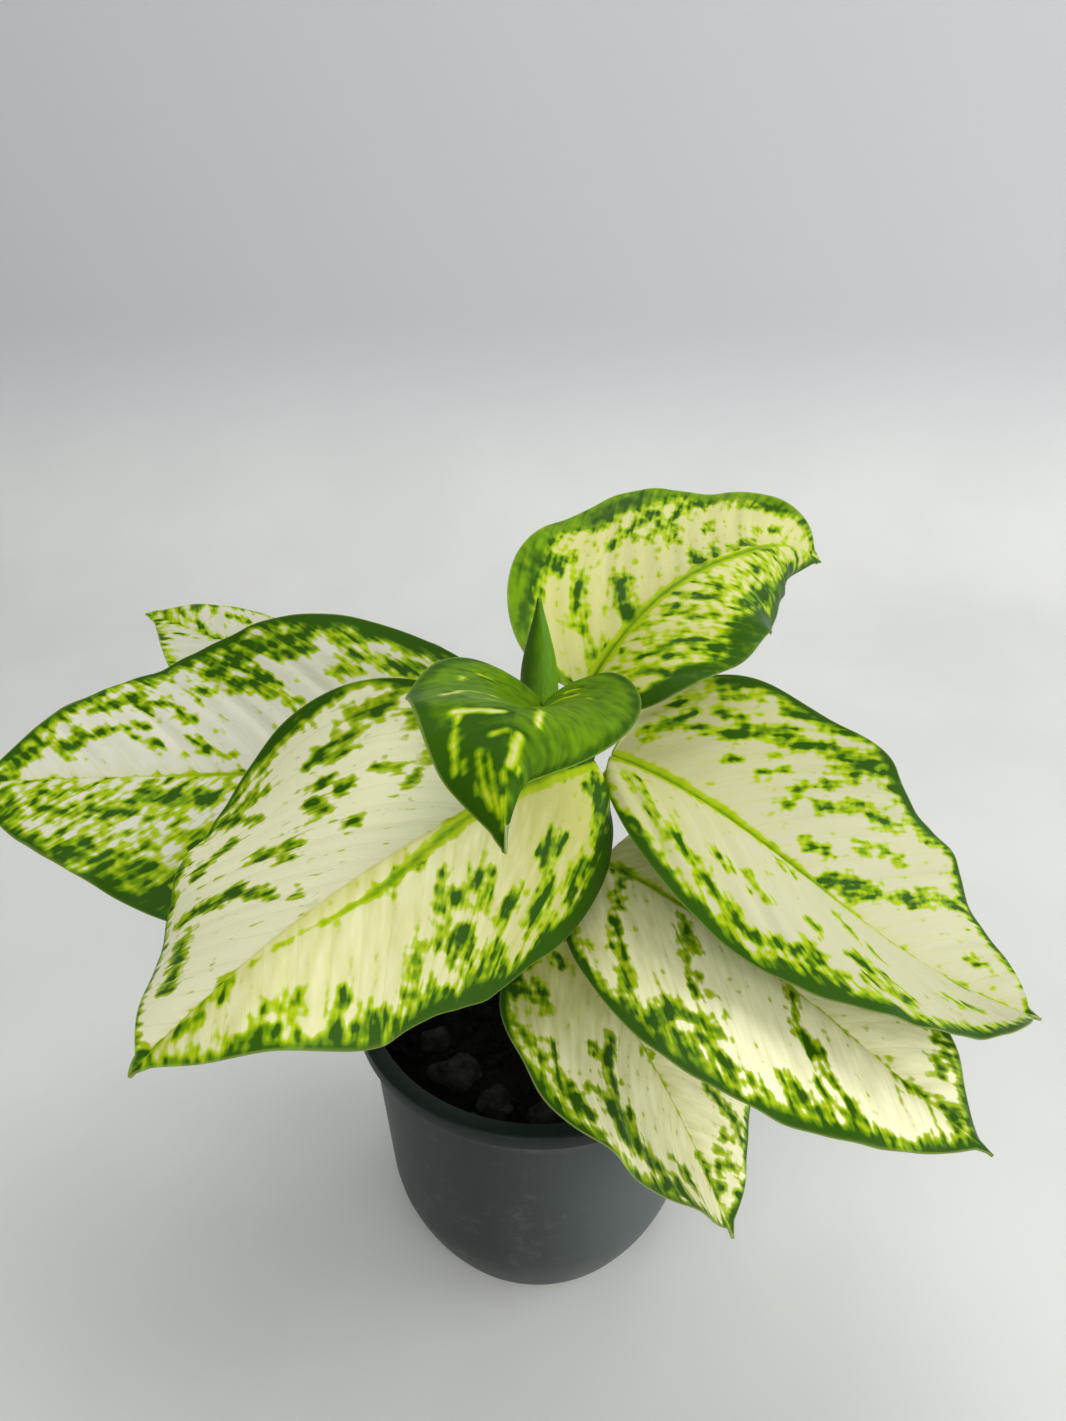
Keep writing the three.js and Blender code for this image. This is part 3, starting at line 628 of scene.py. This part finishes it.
def wall_radius(height):
    """Outer radius of the pot's wall: straight above the shoulder, and rounded in below it."""
    shoulder = POT.shoulder_radius
    if height >= POT.shoulder_height:
        rise = (height - POT.shoulder_height) / (POT.height - POT.shoulder_height)
        return shoulder + (POT.neck_radius - shoulder) * rise
    drop = 1 - height / POT.shoulder_height
    return shoulder + (POT.foot_radius - shoulder) * drop ** POT.foot_curve


def rim_profile():
    """The rim's half section with its edges rounded, from under it, round the lip to the mouth."""
    top, mouth = POT.height, POT.mouth_radius
    under, lip = top - POT.rim_thickness, top - POT.rim_lip
    outer, inner = POT.rim_radius, POT.rim_radius - POT.wall
    return [
        (wall_radius(under - 1.2), under - 1.2), (wall_radius(under) + 0.3, under - 0.3),
        (inner - 1, under), (inner - 0.2, under - 0.3), (inner, under - 1), (inner, lip + 0.2),
        (inner + 0.3, lip), (outer - 0.4, lip), (outer - 0.05, lip + 0.3), (outer, lip + 1),
        (outer, top - 1.1), (outer - 0.25, top - 0.4), (outer - 0.8, top - 0.05), (outer - 1.6, top),
        (mouth + 0.9, top), (mouth + 0.3, top - 0.25), (mouth, top - 0.9),
    ]


def pot_profile():
    """The pot's half section from the edge of its base, up the outside and down the inside."""
    wall, floor = POT.wall, POT.floor
    outer_heights = [0.3, 1, 2, 3.5] + FOOT_HEIGHTS + WALL_HEIGHTS
    inner_heights = [floor + 1] + FOOT_HEIGHTS + WALL_HEIGHTS
    outside = [(wall_radius(0) - 0.5, 0)] + [(wall_radius(z), z) for z in outer_heights]
    inside = [(wall_radius(z) - wall, z) for z in reversed(inner_heights)]
    inside.append((wall_radius(floor) - wall - 1.2, floor))
    return outside + rim_profile() + inside


def cut_drain_holes(pot):
    parts = []
    heights = (-4, -1, 2, 5, 8)
    for hole in range(POT.drain_holes):
        angle = FULL_TURN * hole / POT.drain_holes
        centres = [polar(POT.drain_circle, angle, z) for z in heights]
        parts.append(tube(centres, [POT.drain_radius] * len(heights), 40))
    drill = mesh_object("drill", *joined(parts), [])
    cut = pot.modifiers.new("drain_holes", "BOOLEAN")
    cut.object, cut.operation, cut.solver = drill, "DIFFERENCE", "EXACT"
    bpy.context.view_layer.update()
    graph = bpy.context.evaluated_depsgraph_get()
    mesh = bpy.data.meshes.new_from_object(pot.evaluated_get(graph))
    pot.modifiers.clear()
    pot.data = mesh
    drilled = drill.data
    bpy.data.objects.remove(drill)
    bpy.data.meshes.remove(drilled)
    mesh.set_sharp_from_angle(angle=math.radians(35))


def build_pot():
    profile = pot_profile()
    points = [polar(r, a, z) for r, z in profile for a in angles_round(POT_SEGMENTS)]
    faces = grid_faces(len(profile), POT_SEGMENTS, wrap=True)
    last = (len(profile) - 1) * POT_SEGMENTS
    faces.append(tuple(reversed(range(POT_SEGMENTS))))
    faces.append(tuple(range(last, last + POT_SEGMENTS)))
    pot = mesh_object("nursery_pot", points, faces, [pot_material()])
    cut_drain_holes(pot)
    coords = np.empty(len(pot.data.vertices) * 3)
    pot.data.vertices.foreach_get("co", coords)
    x, y, z = coords.reshape(-1, 3).T / MM
    radius = np.hypot(x, y)
    on_rim = smoothstep(POT.height - 6, POT.height - 4, z) * (radius > POT.mouth_radius - 0.5)
    outer = np.array([wall_radius(height) for height in z])
    inside = (radius < outer - POT.wall / 2) * (z > POT.floor - 0.5)
    # The rim is the darkest part; the pot's inside walls get most of that darkness as painted shade.
    store(pot.data, "rim", np.maximum(on_rim, inside * 0.8))
    finish_piece(pot, "pot")


# -------- mix and lumps

MIX_SEGMENTS = 120
MIX_RINGS = 43
MIX_HEIGHTS = (POT.floor + GAP, 4, 7, 10, 14, 19, POT.shoulder_height, 35, 50, 62, 70)


def mix_top(x, y):
    wave = np.sin(0.13 * x + 1) * np.cos(0.16 * y) + 0.5 * np.sin(0.31 * (x - y))
    return MIX.height + MIX.swell * wave


def build_mix():
    """The mix's side from its bottom up, then its rough top in rings towards the middle."""
    clear = POT.wall + GAP
    angles = angles_round(MIX_SEGMENTS)
    edge = wall_radius(MIX.height) - clear
    points = [polar(wall_radius(z) - clear, a, z) for z in MIX_HEIGHTS for a in angles]
    shares = np.linspace(1, 0, MIX_RINGS + 1)[:-1]
    for share in shares:
        for a in angles:
            x, y, _ = polar(share * edge, a, 0)
            rough = noise.noise(Vector((x, y, 0)) / 3.2) + noise.noise(Vector((x, y, 9)) / 1.3) * 0.5
            points.append((x, y, float(mix_top(x, y)) - 0.4 + rough * (1 if share < 1 else 0)))
    points.append((0, 0, float(mix_top(0, 0))))
    rows = len(MIX_HEIGHTS) + MIX_RINGS
    faces = grid_faces(rows, MIX_SEGMENTS, wrap=True)
    top, start = rows * MIX_SEGMENTS, (rows - 1) * MIX_SEGMENTS
    faces += [(start + i, start + (i + 1) % MIX_SEGMENTS, top) for i in range(MIX_SEGMENTS)]
    faces.append(tuple(reversed(range(MIX_SEGMENTS))))
    mix = mesh_object("potting_mix_bed", points, faces, [DARK_MIX])
    finish_piece(mix, "potting_mix")


def ball(levels):
    """Points and faces of a round ball."""
    mesh = bpy.data.meshes.new("ball")
    shape = bmesh.new()
    bmesh.ops.create_icosphere(shape, subdivisions=levels, radius=1)
    shape.to_mesh(mesh)
    shape.free()
    points = np.array([v.co[:] for v in mesh.vertices])
    faces = [tuple(p.vertices) for p in mesh.polygons]
    bpy.data.meshes.remove(mesh)
    return points, faces


def crumb(rng, size):
    """One crumb of bark or grit: a rough lump of 42 points, flattened and turned."""
    points, faces = ball(2)
    bumps = 1 + 0.28 * noise_at(points, 0.7, rng.random() * 40)
    shape = np.array([1, rng.uniform(0.45, 0.9), rng.uniform(0.3, 0.7)]) * size
    turn = np.array(Euler(rng.uniform(0, 6.28, 3)).to_matrix())
    return (points * bumps[:, None] * shape) @ turn.T, faces


def build_crumbs(name, count, sizes, material, seed):
    """Crumbs strewn on the mix, clear of the pot's wall and of the stem."""
    rng = np.random.default_rng(seed)
    parts = []
    limit = wall_radius(MIX.height) - POT.wall - GAP
    while len(parts) < count:
        size = rng.uniform(*sizes)
        x, y = rng.uniform(-limit, limit, 2)
        if math.hypot(x, y) + size > limit or math.hypot(x, y) < STEM.radius + size + 1:
            continue
        points, faces = crumb(rng, size)
        parts.append((points + (x, y, float(mix_top(x, y)) + 0.25 * size), faces))
    crumbs = mesh_object(name, *joined(parts), [material])
    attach(crumbs, "root")


def build_lump(index, material):
    """A lump shaped as in the CAD, with small pits and facets on it."""
    x, y, share = LUMPS[index]
    points, faces = ball(5)
    bump = 1 + 0.14 * np.sin(4 * points[:, 0] + index) + 0.12 * np.cos(5 * points[:, 1] - 2 * index)
    pits = 0.10 * noise_at(points, 0.45, index + 3) + 0.05 * noise_at(points, 0.18, index + 5)
    facets = 0.10 * np.abs(noise_at(points, 0.8, index + 9))
    points = points * ((bump + pits - facets) * LUMP.size * share)[:, None] * (1, 0.8, 0.7)
    turn = np.array(Euler((index * 1.3, index * 0.9, index * 2.1)).to_matrix())
    points = points @ turn.T + (x, y, float(mix_top(x, y)) + LUMP.sink)
    lump = mesh_object(f"lump_{index + 1}_stone", points, faces, [material])
    finish_piece(lump, f"lump_{index + 1}")


# -------- stem, roots and the rolled leaf

ROOT_STEPS = 40
SPEAR_ROWS = 120
SPEAR_SIDES = 64
SEAM_START = -1.9  # where the spear's lapped edge lies at its foot, in radians
SEAM_WIND = 2.4  # how far it winds round up to the tip


def root(index):
    """One root, that leaves the stem, reaches outwards and bends down."""
    angle = FULL_TURN * index / ROOT.count + 0.4 * math.sin(5 * index)
    reach = ROOT.reach * (0.82 + 0.18 * math.sin(3 * index + 1))
    start = STEM.bottom + 4 + (index % 3) * 7
    lowest = ROOT.lowest + (index % 2) * 10
    rounded = ((2, start), (reach * 0.6, start + 2), (reach, start - 8), (reach * 0.92, lowest))
    path = bezier(*(polar(radius, angle, height) for radius, height in rounded), ROOT_STEPS)
    return tube(path, ROOT.radius * np.linspace(1, 0.45, ROOT_STEPS), 16)


def build_stem():
    heights = np.arange(STEM.bottom, STEM.top + 0.01, 0.5)
    phase = (heights - STEM.bottom) / STEM.node_spacing * 2 * math.pi
    ring = STEM.node_swell * (0.5 + 0.5 * np.cos(phase)) ** 6
    end = 1 - 0.35 * smoothstep(STEM.top - 3, STEM.top, heights)

    def wobble(angle, row):
        return 1 + 0.015 * math.sin(3 * angle + heights[row] / 7)

    parts = [tube([(0, 0, z) for z in heights], (STEM.radius - 0.2 + ring) * end, 48, wobble)]
    stem_points = len(parts[0][0])
    parts += [root(i) for i in range(ROOT.count)]
    points, faces = joined(parts)
    stem = mesh_object("stem_with_roots", points, faces, [stem_material()])
    rooted = smoothstep(MIX.height - 1, MIX.height - 12, points[:, 2])
    rooted[stem_points:] = 1
    store(stem.data, "root", rooted)
    finish_piece(stem, "stem_and_roots")


def past_seam(angle, share):
    """Angle round the spear from its lapped edge, at a share of its height."""
    return (angle - (SEAM_START + SEAM_WIND * share)) % FULL_TURN


def build_spear():
    """The newest leaf, rolled into a spike: one edge laps over the other and winds up to the tip."""
    share = np.linspace(0, 1, SPEAR_ROWS)
    radii = np.interp(share, *zip(*SPEAR.radii))
    radii = np.convolve(np.pad(radii, 4, mode="edge"), np.ones(9) / 9, mode="valid")
    foot, tip = np.array(SPEAR.foot), np.array(SPEAR.tip)
    centres = foot + (tip - foot) * share[:, None]

    def lap(angle, row):
        turned = past_seam(angle, share[row])
        return 0.93 + 0.07 * smoothstep(0, 0.25, turned) * (1 - turned / FULL_TURN) ** 0.5

    points, faces = tube(centres, radii, SPEAR_SIDES, lap)
    spear = mesh_object("rolled_new_leaf", points, faces, [spear_material()])
    angles = np.tile(angles_round(SPEAR_SIDES), SPEAR_ROWS)
    height = np.repeat(share, SPEAR_SIDES)
    store(spear.data, "seam", 1 - smoothstep(0.0, 0.16, past_seam(angles, height)))
    # Painted shade: the spear's left side, away from the light, is darkened to a leaf margin's dark green.
    store(spear.data, "margin", 0.75 * smoothstep(0.3, 0.95, 0.5 + 0.5 * np.cos(angles - 0.3)))
    store_veins(spear.data, np.sin(angles) * 0.5, height * 10)
    finish_piece(spear, "leaf_new_rolled")


# -------- leaves

TIP_POINT = 5  # length of the drawn-out point at a leaf's tip
STUB = 2  # half width where a blade starts
LOBE_AT = 0.05  # share of the length where the base lobes reach back furthest
NECK_LENGTH = 0.12  # share of the length over which a narrowed base widens again
BLADE_ROWS = 160
BLADE_COLUMNS = 81
MIDRIB_STEPS = 400
PETIOLE_STEPS = 70
VEIN_LEAN = 0.75  # how far a side vein moves ahead for each millimetre outwards
VEIN_ARCH = 0.008  # and how much that grows outwards
MARGIN_SOFT = 3.2  # over how many millimetres the margin, a stroke and the rib fade out
STROKE_SOFT = 2.8
RIB_SOFT = 1.2
USUAL_DEPTH = (1.4, 1.4)  # for a margin that gets fully dark
USUAL_GLOSS = 0.12


def leaf_frame(leaf, v):
    """Unit vectors at v along the midrib: ahead, to the right, and up from the blade."""
    heading = np.radians(leaf["heading"] + leaf["sway"] * v)
    climb = np.radians(along(leaf["pitch"], v))
    roll = np.radians(along(leaf["roll"], v))[..., None]
    ahead = np.stack([np.cos(climb) * np.cos(heading), np.cos(climb) * np.sin(heading), np.sin(climb)], -1)
    level = np.stack([np.sin(heading), -np.cos(heading), 0 * heading], -1)
    upright = np.cross(level, ahead)
    right = level * np.cos(roll) - upright * np.sin(roll)
    up = upright * np.cos(roll) + level * np.sin(roll)
    return ahead, right, up


def midrib_points(leaf):
    ahead, _, _ = leaf_frame(leaf, (np.arange(MIDRIB_STEPS) + 0.5) / MIDRIB_STEPS)
    walk = np.cumsum(ahead, axis=0) * leaf["length"] / MIDRIB_STEPS
    return np.array(leaf["base"]) + np.concatenate([np.zeros((1, 3)), walk])


def half_width(leaf, v, right):
    point = TIP_POINT / leaf["length"]
    share = np.minimum(v / (1 - point), 1)
    rise = leaf["taper"] * leaf["widest"] / (1 - leaf["widest"]) * leaf["shoulder"][right]
    neck = 1 - leaf.get("neck", (0, 0))[right] * np.exp(-((v / NECK_LENGTH) ** 2))
    shape = (share / leaf["widest"]) ** rise * ((1 - share) / (1 - leaf["widest"])) ** leaf["taper"] * neck
    stub = STUB * np.clip((1 - v) / point, 0.15, 1)
    return np.hypot(leaf["half"][right] * shape, stub)


def blade_surface(leaf, u, v):
    """Points of the blade's middle surface, the half width there, and its side-vein coordinate."""
    out, side = np.abs(u), np.where(u < 0, -1.0, 1.0)
    forward = 0.4 * v * (1 - v) * out ** 1.5
    back = leaf["lobe"] / leaf["length"] * (v / LOBE_AT) * np.exp(1 - v / LOBE_AT) * out
    place = v + forward - back
    inside = np.clip(place, 0, 1)
    midrib = midrib_points(leaf)
    step = np.minimum((inside * MIDRIB_STEPS).astype(int), MIDRIB_STEPS - 1)
    part = (inside * MIDRIB_STEPS - step)[..., None]
    centre = midrib[step] * (1 - part) + midrib[step + 1] * part
    ahead, right, up = leaf_frame(leaf, inside)
    width = np.where(side > 0, half_width(leaf, v, 1), half_width(leaf, v, 0))
    left_curl, right_curl = (along(curl, v) for curl in leaf["curl"])
    lean = np.radians(along(leaf["fold"], v) + np.where(side > 0, right_curl, left_curl) * out / 2)
    rise, count, start = (np.where(side > 0, r, l) for l, r in zip(*leaf["wave"]))
    wave = rise * out ** 2.2 * np.sin(2 * np.pi * (count * v + start)) * np.sin(np.pi * v) ** 0.5
    across = width * out
    points = centre + ahead * ((place - inside) * leaf["length"])[..., None]
    points = points + right * (side * width * out * np.cos(lean))[..., None]
    points = points + up * (across * np.sin(lean) + wave)[..., None]
    vein = place * leaf["length"] - VEIN_LEAN * across - VEIN_ARCH * across ** 2
    return points, width, vein


def rib_bend(marks, v):
    """How far the midrib wanders to the right of the blade's middle line."""
    return marks.get("bend", 0) * np.exp(-(((v - 0.56) / 0.17) ** 2))


def blade_grid():
    """u and v of a grid with more columns near the midrib and more rows near both ends."""
    t = np.sort(np.append(np.linspace(-1, 1, BLADE_COLUMNS), (-0.993, 0.993)))
    u = np.sign(t) * (0.4 * np.abs(t) + 0.6 * np.abs(t) ** 1.5)
    s = np.linspace(0, 1, BLADE_ROWS)
    v = 0.65 * s + 0.35 * (0.5 - 0.5 * np.cos(np.pi * s))
    return np.meshgrid(u, v)


def relief(leaf, marks, u, v, width, vein):
    """Lift of the whole blade: side veins pressed in, quilted between, with a finely rippled edge."""
    seed = marks["seed"]
    side = np.where(u < 0, LEFT_VEINS, 0.0)
    wave = np.cos(2 * np.pi * (vein / VEIN_SPACING + side))
    main = np.exp(-4 * (np.mod(vein / (3 * VEIN_SPACING) + side + 0.5, 1) - 0.5) ** 2 * 36)
    quilt = 0.26 * (0.5 - 0.5 * wave) - 0.45 * main
    quilt = quilt * smoothstep(1, 10, width * np.abs(u)) * (1 - smoothstep(0.7, 1, np.abs(u)))
    ahead = v * leaf["length"]
    ripple = np.sin(ahead / 3.1 + seed + 2 * side) + 0.6 * np.sin(ahead / 1.7 + 2 * seed)
    ripple = 0.32 * ripple * np.abs(u) ** 6 * np.sin(np.pi * np.clip(v, 0, 1))
    return (quilt + ripple) * marks.get("smooth", 1)


def edge_faces(rows, columns):
    """Faces that close the gap between two sheets of points all round their edge."""
    count = rows * columns
    edge = [r * columns for r in range(rows)]
    edge += [(rows - 1) * columns + c for c in range(1, columns)]
    edge += [r * columns + columns - 1 for r in range(rows - 2, -1, -1)]
    edge += range(columns - 2, 0, -1)
    ends = edge[1:] + edge[:1]
    return [(a, b, b + count, a + count) for a, b in zip(edge, ends)]


def build_blade(leaf, marks):
    """The blade as one closed thin shell; also gives u, v and more for each of its points."""
    u, v = blade_grid()
    points, width, vein = blade_surface(leaf, u, v)
    up = unit(np.cross(np.gradient(points, axis=1), np.gradient(points, axis=0)))
    points = points + up * relief(leaf, marks, u, v, width, vein)[..., None]
    off_rib = np.abs(width * u - rib_bend(marks, v))
    half = 0.16 + 0.14 * (1 - np.abs(u) ** 2)
    fade = (1 - v) ** 0.7
    groove = 0.28 * np.exp(-((off_rib / 0.9) ** 2)) * fade
    ridge = (0.25 + 1.1 * fade) * np.exp(-((off_rib / (0.5 + 1.0 * fade)) ** 2)) * smoothstep(-0.02, 0.04, v)
    upper = points + up * (half - groove)[..., None]
    lower = points - up * (half + ridge)[..., None]
    rows, columns = u.shape
    count = rows * columns
    faces = grid_faces(rows, columns) + grid_faces(rows, columns, start=count, flip=True)
    faces += edge_faces(rows, columns)
    details = {key: np.tile(a.ravel(), 2) for key, a in dict(u=u, v=v, width=width, vein=vein).items()}
    details["under"] = np.repeat([0.0, 1.0], count)
    return np.concatenate([upper.reshape(-1, 3), lower.reshape(-1, 3)]), faces, details


def flattened(angle, row):
    """The stalk's section, which isn't quite round."""
    return 1 - 0.07 * math.cos(2 * angle)


def build_petiole(leaf):
    """The stalk: from its sheath beside the stem, up and over into the midrib's underside."""
    angle, height, *own_ring = leaf["foot"]
    ring = own_ring[0] if own_ring else PETIOLE_RING
    foot = np.array(polar(ring, math.radians(angle), height))
    radius = leaf.get("stalk", PETIOLE_RADIUS)
    ahead, _, up = (a[0] for a in leaf_frame(leaf, np.array([0.0])))
    end = np.array(leaf["base"]) - up * 0.6 * radius
    climb = end[2] - foot[2]
    before = end - ahead * (leaf["back"] + 2) - (0, 0, climb * 0.09)
    path = bezier(foot, foot + (0, 0, climb * 0.4), before, end + ahead * 3.5, PETIOLE_STEPS)
    share = np.linspace(0, 1, PETIOLE_STEPS)
    radii = radius * (1 - 0.22 * smoothstep(0.25, 1, share)) * (1 - 0.75 * smoothstep(0.965, 1, share))
    radii = radii * (0.9 + 0.1 * smoothstep(0, 0.02, share))
    return tube(path, radii, 28, flattened)


def stroke_paint(leaf, u, v, width, strokes, soft):
    """How strongly single strokes cover each point: 0.5 at a stroke's edge, more inside, less outside."""
    best = np.full(u.shape, -9.0)
    x, y = u * width, v * leaf["length"]

    def on_blade(u_percent, v_percent):
        at_u, at_v = u_percent / 100, v_percent / 100
        return np.array([at_u * half_width(leaf, np.array(at_v), int(at_u > 0)), at_v * leaf["length"]])

    for u0, v0, u1, v1, half in strokes:
        start = on_blade(u0, v0)
        line = on_blade(u1, v1) - start
        share = ((x - start[0]) * line[0] + (y - start[1]) * line[1]) / max(line @ line, 1e-6)
        share = np.clip(share, 0, 1)
        away = np.hypot(x - start[0] - share * line[0], y - start[1] - share * line[1])
        best = np.maximum(best, (half - away) / soft + 0.5)
    return best


def rib_paint(marks, v, off_rib):
    """How green the midrib is, fading out along the blade and with a fine line down its middle."""
    rib_half = marks["rib"][0] * np.clip(1 - (v / marks["rib"][1]) ** 2, 0, 1)
    rib = np.clip((rib_half - off_rib) / RIB_SOFT + 0.35, -1, 0.4)
    return rib + 0.4 * np.exp(-((off_rib / 0.6) ** 2)) * np.clip(rib_half, 0, 1)


def paint_leaf(mesh, name, details):
    """Stores on each point how green it is, how broken up, how yellow with painted shade, and where the
    painted edge highlight runs.
    """
    leaf, marks = LEAVES[name], MARKINGS[name]
    u, v, width, vein = (details[k] for k in ("u", "v", "width", "vein"))
    across = width * np.abs(u)
    inset = width * (1 - np.abs(u))

    def by_half(pair):
        return np.where(u > 0, pair[1], pair[0])

    margins = by_half([along(margin, v) for margin in marks["margin"]])
    drift = np.sin(v * 19 + marks["seed"]) * 0.2 + np.sin(v * 41 + 2 * marks["seed"]) * 0.15
    edge = (margins * (1 + drift) - inset) / MARGIN_SOFT + 0.3
    rib = rib_paint(marks, v, np.abs(width * u - rib_bend(marks, v)))
    strokes = stroke_paint(leaf, u, v, width, STROKES[name], marks.get("soft", STROKE_SOFT))
    mottle = by_half(marks["mottle"])
    if "green" in marks:
        shade = mottle * smoothstep(0.5, 0.75, v) + 0.2 * smoothstep(4, 1, inset)
        paint = 0.92 + shade - 1.15 * np.clip(strokes, 0, 0.9)
        break_up = 0.12 + 0.3 * np.clip(strokes + 0.7, 0, 1)
    else:
        edge_paint = np.clip(edge, -1, by_half(marks.get("depth", USUAL_DEPTH)))
        layers = [edge_paint, rib, np.clip(strokes, -1, 1.08), 0.8 * mottle - 0.75]
        paint = np.maximum.reduce(layers)
        break_up = 1.0 - 0.75 * smoothstep(0.7, 1.2, edge) - 0.85 * smoothstep(0.1, 0.4, rib)
    near, far = marks["warm"]
    # Painted shade and light shining through the leaf: how far the cream yellows, most at the base and along
    # the midrib, and by each half's tint.
    yellow = far + (near - far) * smoothstep(0.45, 0.0, v) + 0.3 * np.exp(-((across / 3) ** 2))
    yellow = yellow + by_half(marks.get("tint", (0, 0)))
    store(mesh, "paint", paint)
    store(mesh, "break_up", break_up)
    store(mesh, "yellow", yellow)
    # Painted highlight along the last fraction of a millimetre of the edge.
    store(mesh, "painted_edge_highlight", smoothstep(0.35, 0.1, inset) * 0.3)
    store(mesh, "under", details["under"])
    store_veins(mesh, np.sign(u) * (across + 3) / VEIN_UNIT, vein / VEIN_UNIT)


def build_leaf(name):
    leaf, marks = LEAVES[name], MARKINGS[name]
    gloss = marks.get("gloss", USUAL_GLOSS)
    material = leaf_material(f"{name}_blade", marks["seed"], marks["cream"], gloss)
    points, faces, details = build_blade(leaf, marks)
    stalk_points, stalk_faces = build_petiole(leaf)
    all_points, all_faces = joined([(points, faces), (stalk_points, stalk_faces)])
    obj = mesh_object(f"{name}_leaf", all_points, all_faces, [material, STALK_GREEN])
    obj.data.polygons.foreach_set("material_index", [0] * len(faces) + [1] * len(stalk_faces))
    obj.data.set_sharp_from_angle(angle=math.radians(55))
    paint_leaf(obj.data, name, details)
    finish_piece(obj, f"leaf_{name}")


# -------- build

# The mix, bark and stones are nearly black: dark earth and stone, made darker still as painted shade inside
# the pot under the leaves.
DARK_MIX = mix_material("dark_mix", rgb(0.001, 0.001, 0.001), rgb(0.005, 0.0045, 0.0035), 260.0)
BARK = mix_material("bark_crumb", rgb(0.002, 0.0018, 0.0014), rgb(0.012, 0.009, 0.007), 420.0)
GREY_LUMP = mix_material("grey_lump", rgb(0.008, 0.008, 0.0075), rgb(0.045, 0.042, 0.038), 240.0)
STALK_GREEN = stalk_material()

build_pot()
build_mix()
build_crumbs("bark_crumbs", 420, (0.7, 2.2), BARK, 5)
build_crumbs("fine_crumbs", 900, (0.3, 0.8), DARK_MIX, 6)
for lump_index in range(len(LUMPS)):
    build_lump(lump_index, GREY_LUMP)
build_stem()
for leaf_name in MARKINGS:
    build_leaf(leaf_name)
build_spear()

# -------- stage, lights and camera

# Here place, aim and size are in metres, and power is in watts.
LIGHTS = {
    "window": dict(place=(1.3, -0.05, 0.65), aim=(0, 0, 0.12), size=0.9, power=9),
    "back_window": dict(place=(0.1, 0.38, 1.2), aim=(0, 0, 0.12), size=0.7, power=6),
    "front_fill": dict(place=(0, -0.75, 0.95), aim=(0, 0, 0.1), size=0.5, power=3.0),
    "low_front": dict(place=(0.8, -0.75, 0.4), aim=(0.05, 0, 0.1), size=0.6, power=3.5),
    "left_fill": dict(place=(-0.8, -0.8, 1.0), aim=(0, 0, 0.1), size=0.9, power=2.0),
}
ROOM_LIGHT = Named(color=rgb(0.93, 0.97, 1.0), strength=0.36)
STAGE = Named(half_width=1600, front=-900, bend=420, bend_radius=160, top=1500)
# The photograph's camera: it looks down by 32 degrees from in front of the plant.
CAMERA = Named(place=(-1.5, -230.6, 334), down=32, focal_pixels=1067, image_height=1421, sensor=36.0)


def build_stage():
    """A pale floor that sweeps up into a pale wall behind the plant."""
    bend, radius = STAGE.bend, STAGE.bend_radius
    sweep = np.linspace(0, math.pi / 2, 13)
    corner = [(bend + radius * math.sin(a), radius * (1 - math.cos(a))) for a in sweep]
    section = [(STAGE.front, 0), (0, 0)] + corner + [(bend + radius, STAGE.top)]
    points = [(x, y, z) for y, z in section for x in (-STAGE.half_width, STAGE.half_width)]
    floor = mesh_object("floor", points, grid_faces(len(section), 2), [stage_material()])


def build_light(name, place, aim, size, power):
    data = bpy.data.lights.new(name, "AREA")
    data.shape, data.size, data.energy = "SQUARE", size, power
    lamp = bpy.data.objects.new(name, data)
    lamp.location = place
    lamp.rotation_euler = (Vector(aim) - Vector(place)).to_track_quat("-Z", "Y").to_euler()
    bpy.context.scene.collection.objects.link(lamp)


def build_room_light():
    world = bpy.data.worlds.new("soft_room")
    world.use_nodes = True
    background = world.node_tree.nodes["Background"]
    background.inputs["Color"].default_value = ROOM_LIGHT.color
    background.inputs["Strength"].default_value = ROOM_LIGHT.strength
    bpy.context.scene.world = world
    bpy.context.scene.view_settings.view_transform = "Standard"


def build_camera():
    data = bpy.data.cameras.new("camera")
    data.sensor_width = CAMERA.sensor
    data.lens = CAMERA.focal_pixels / CAMERA.image_height * CAMERA.sensor
    data.clip_start, data.clip_end = 0.01, 20
    camera = bpy.data.objects.new("camera", data)
    camera.location = [c * MM for c in CAMERA.place]
    camera.rotation_euler = (math.radians(90 - CAMERA.down), 0, 0)
    bpy.context.scene.collection.objects.link(camera)
    bpy.context.scene.camera = camera


build_stage()
for light_name, settings in LIGHTS.items():
    build_light(light_name, **settings)
build_room_light()
build_camera()
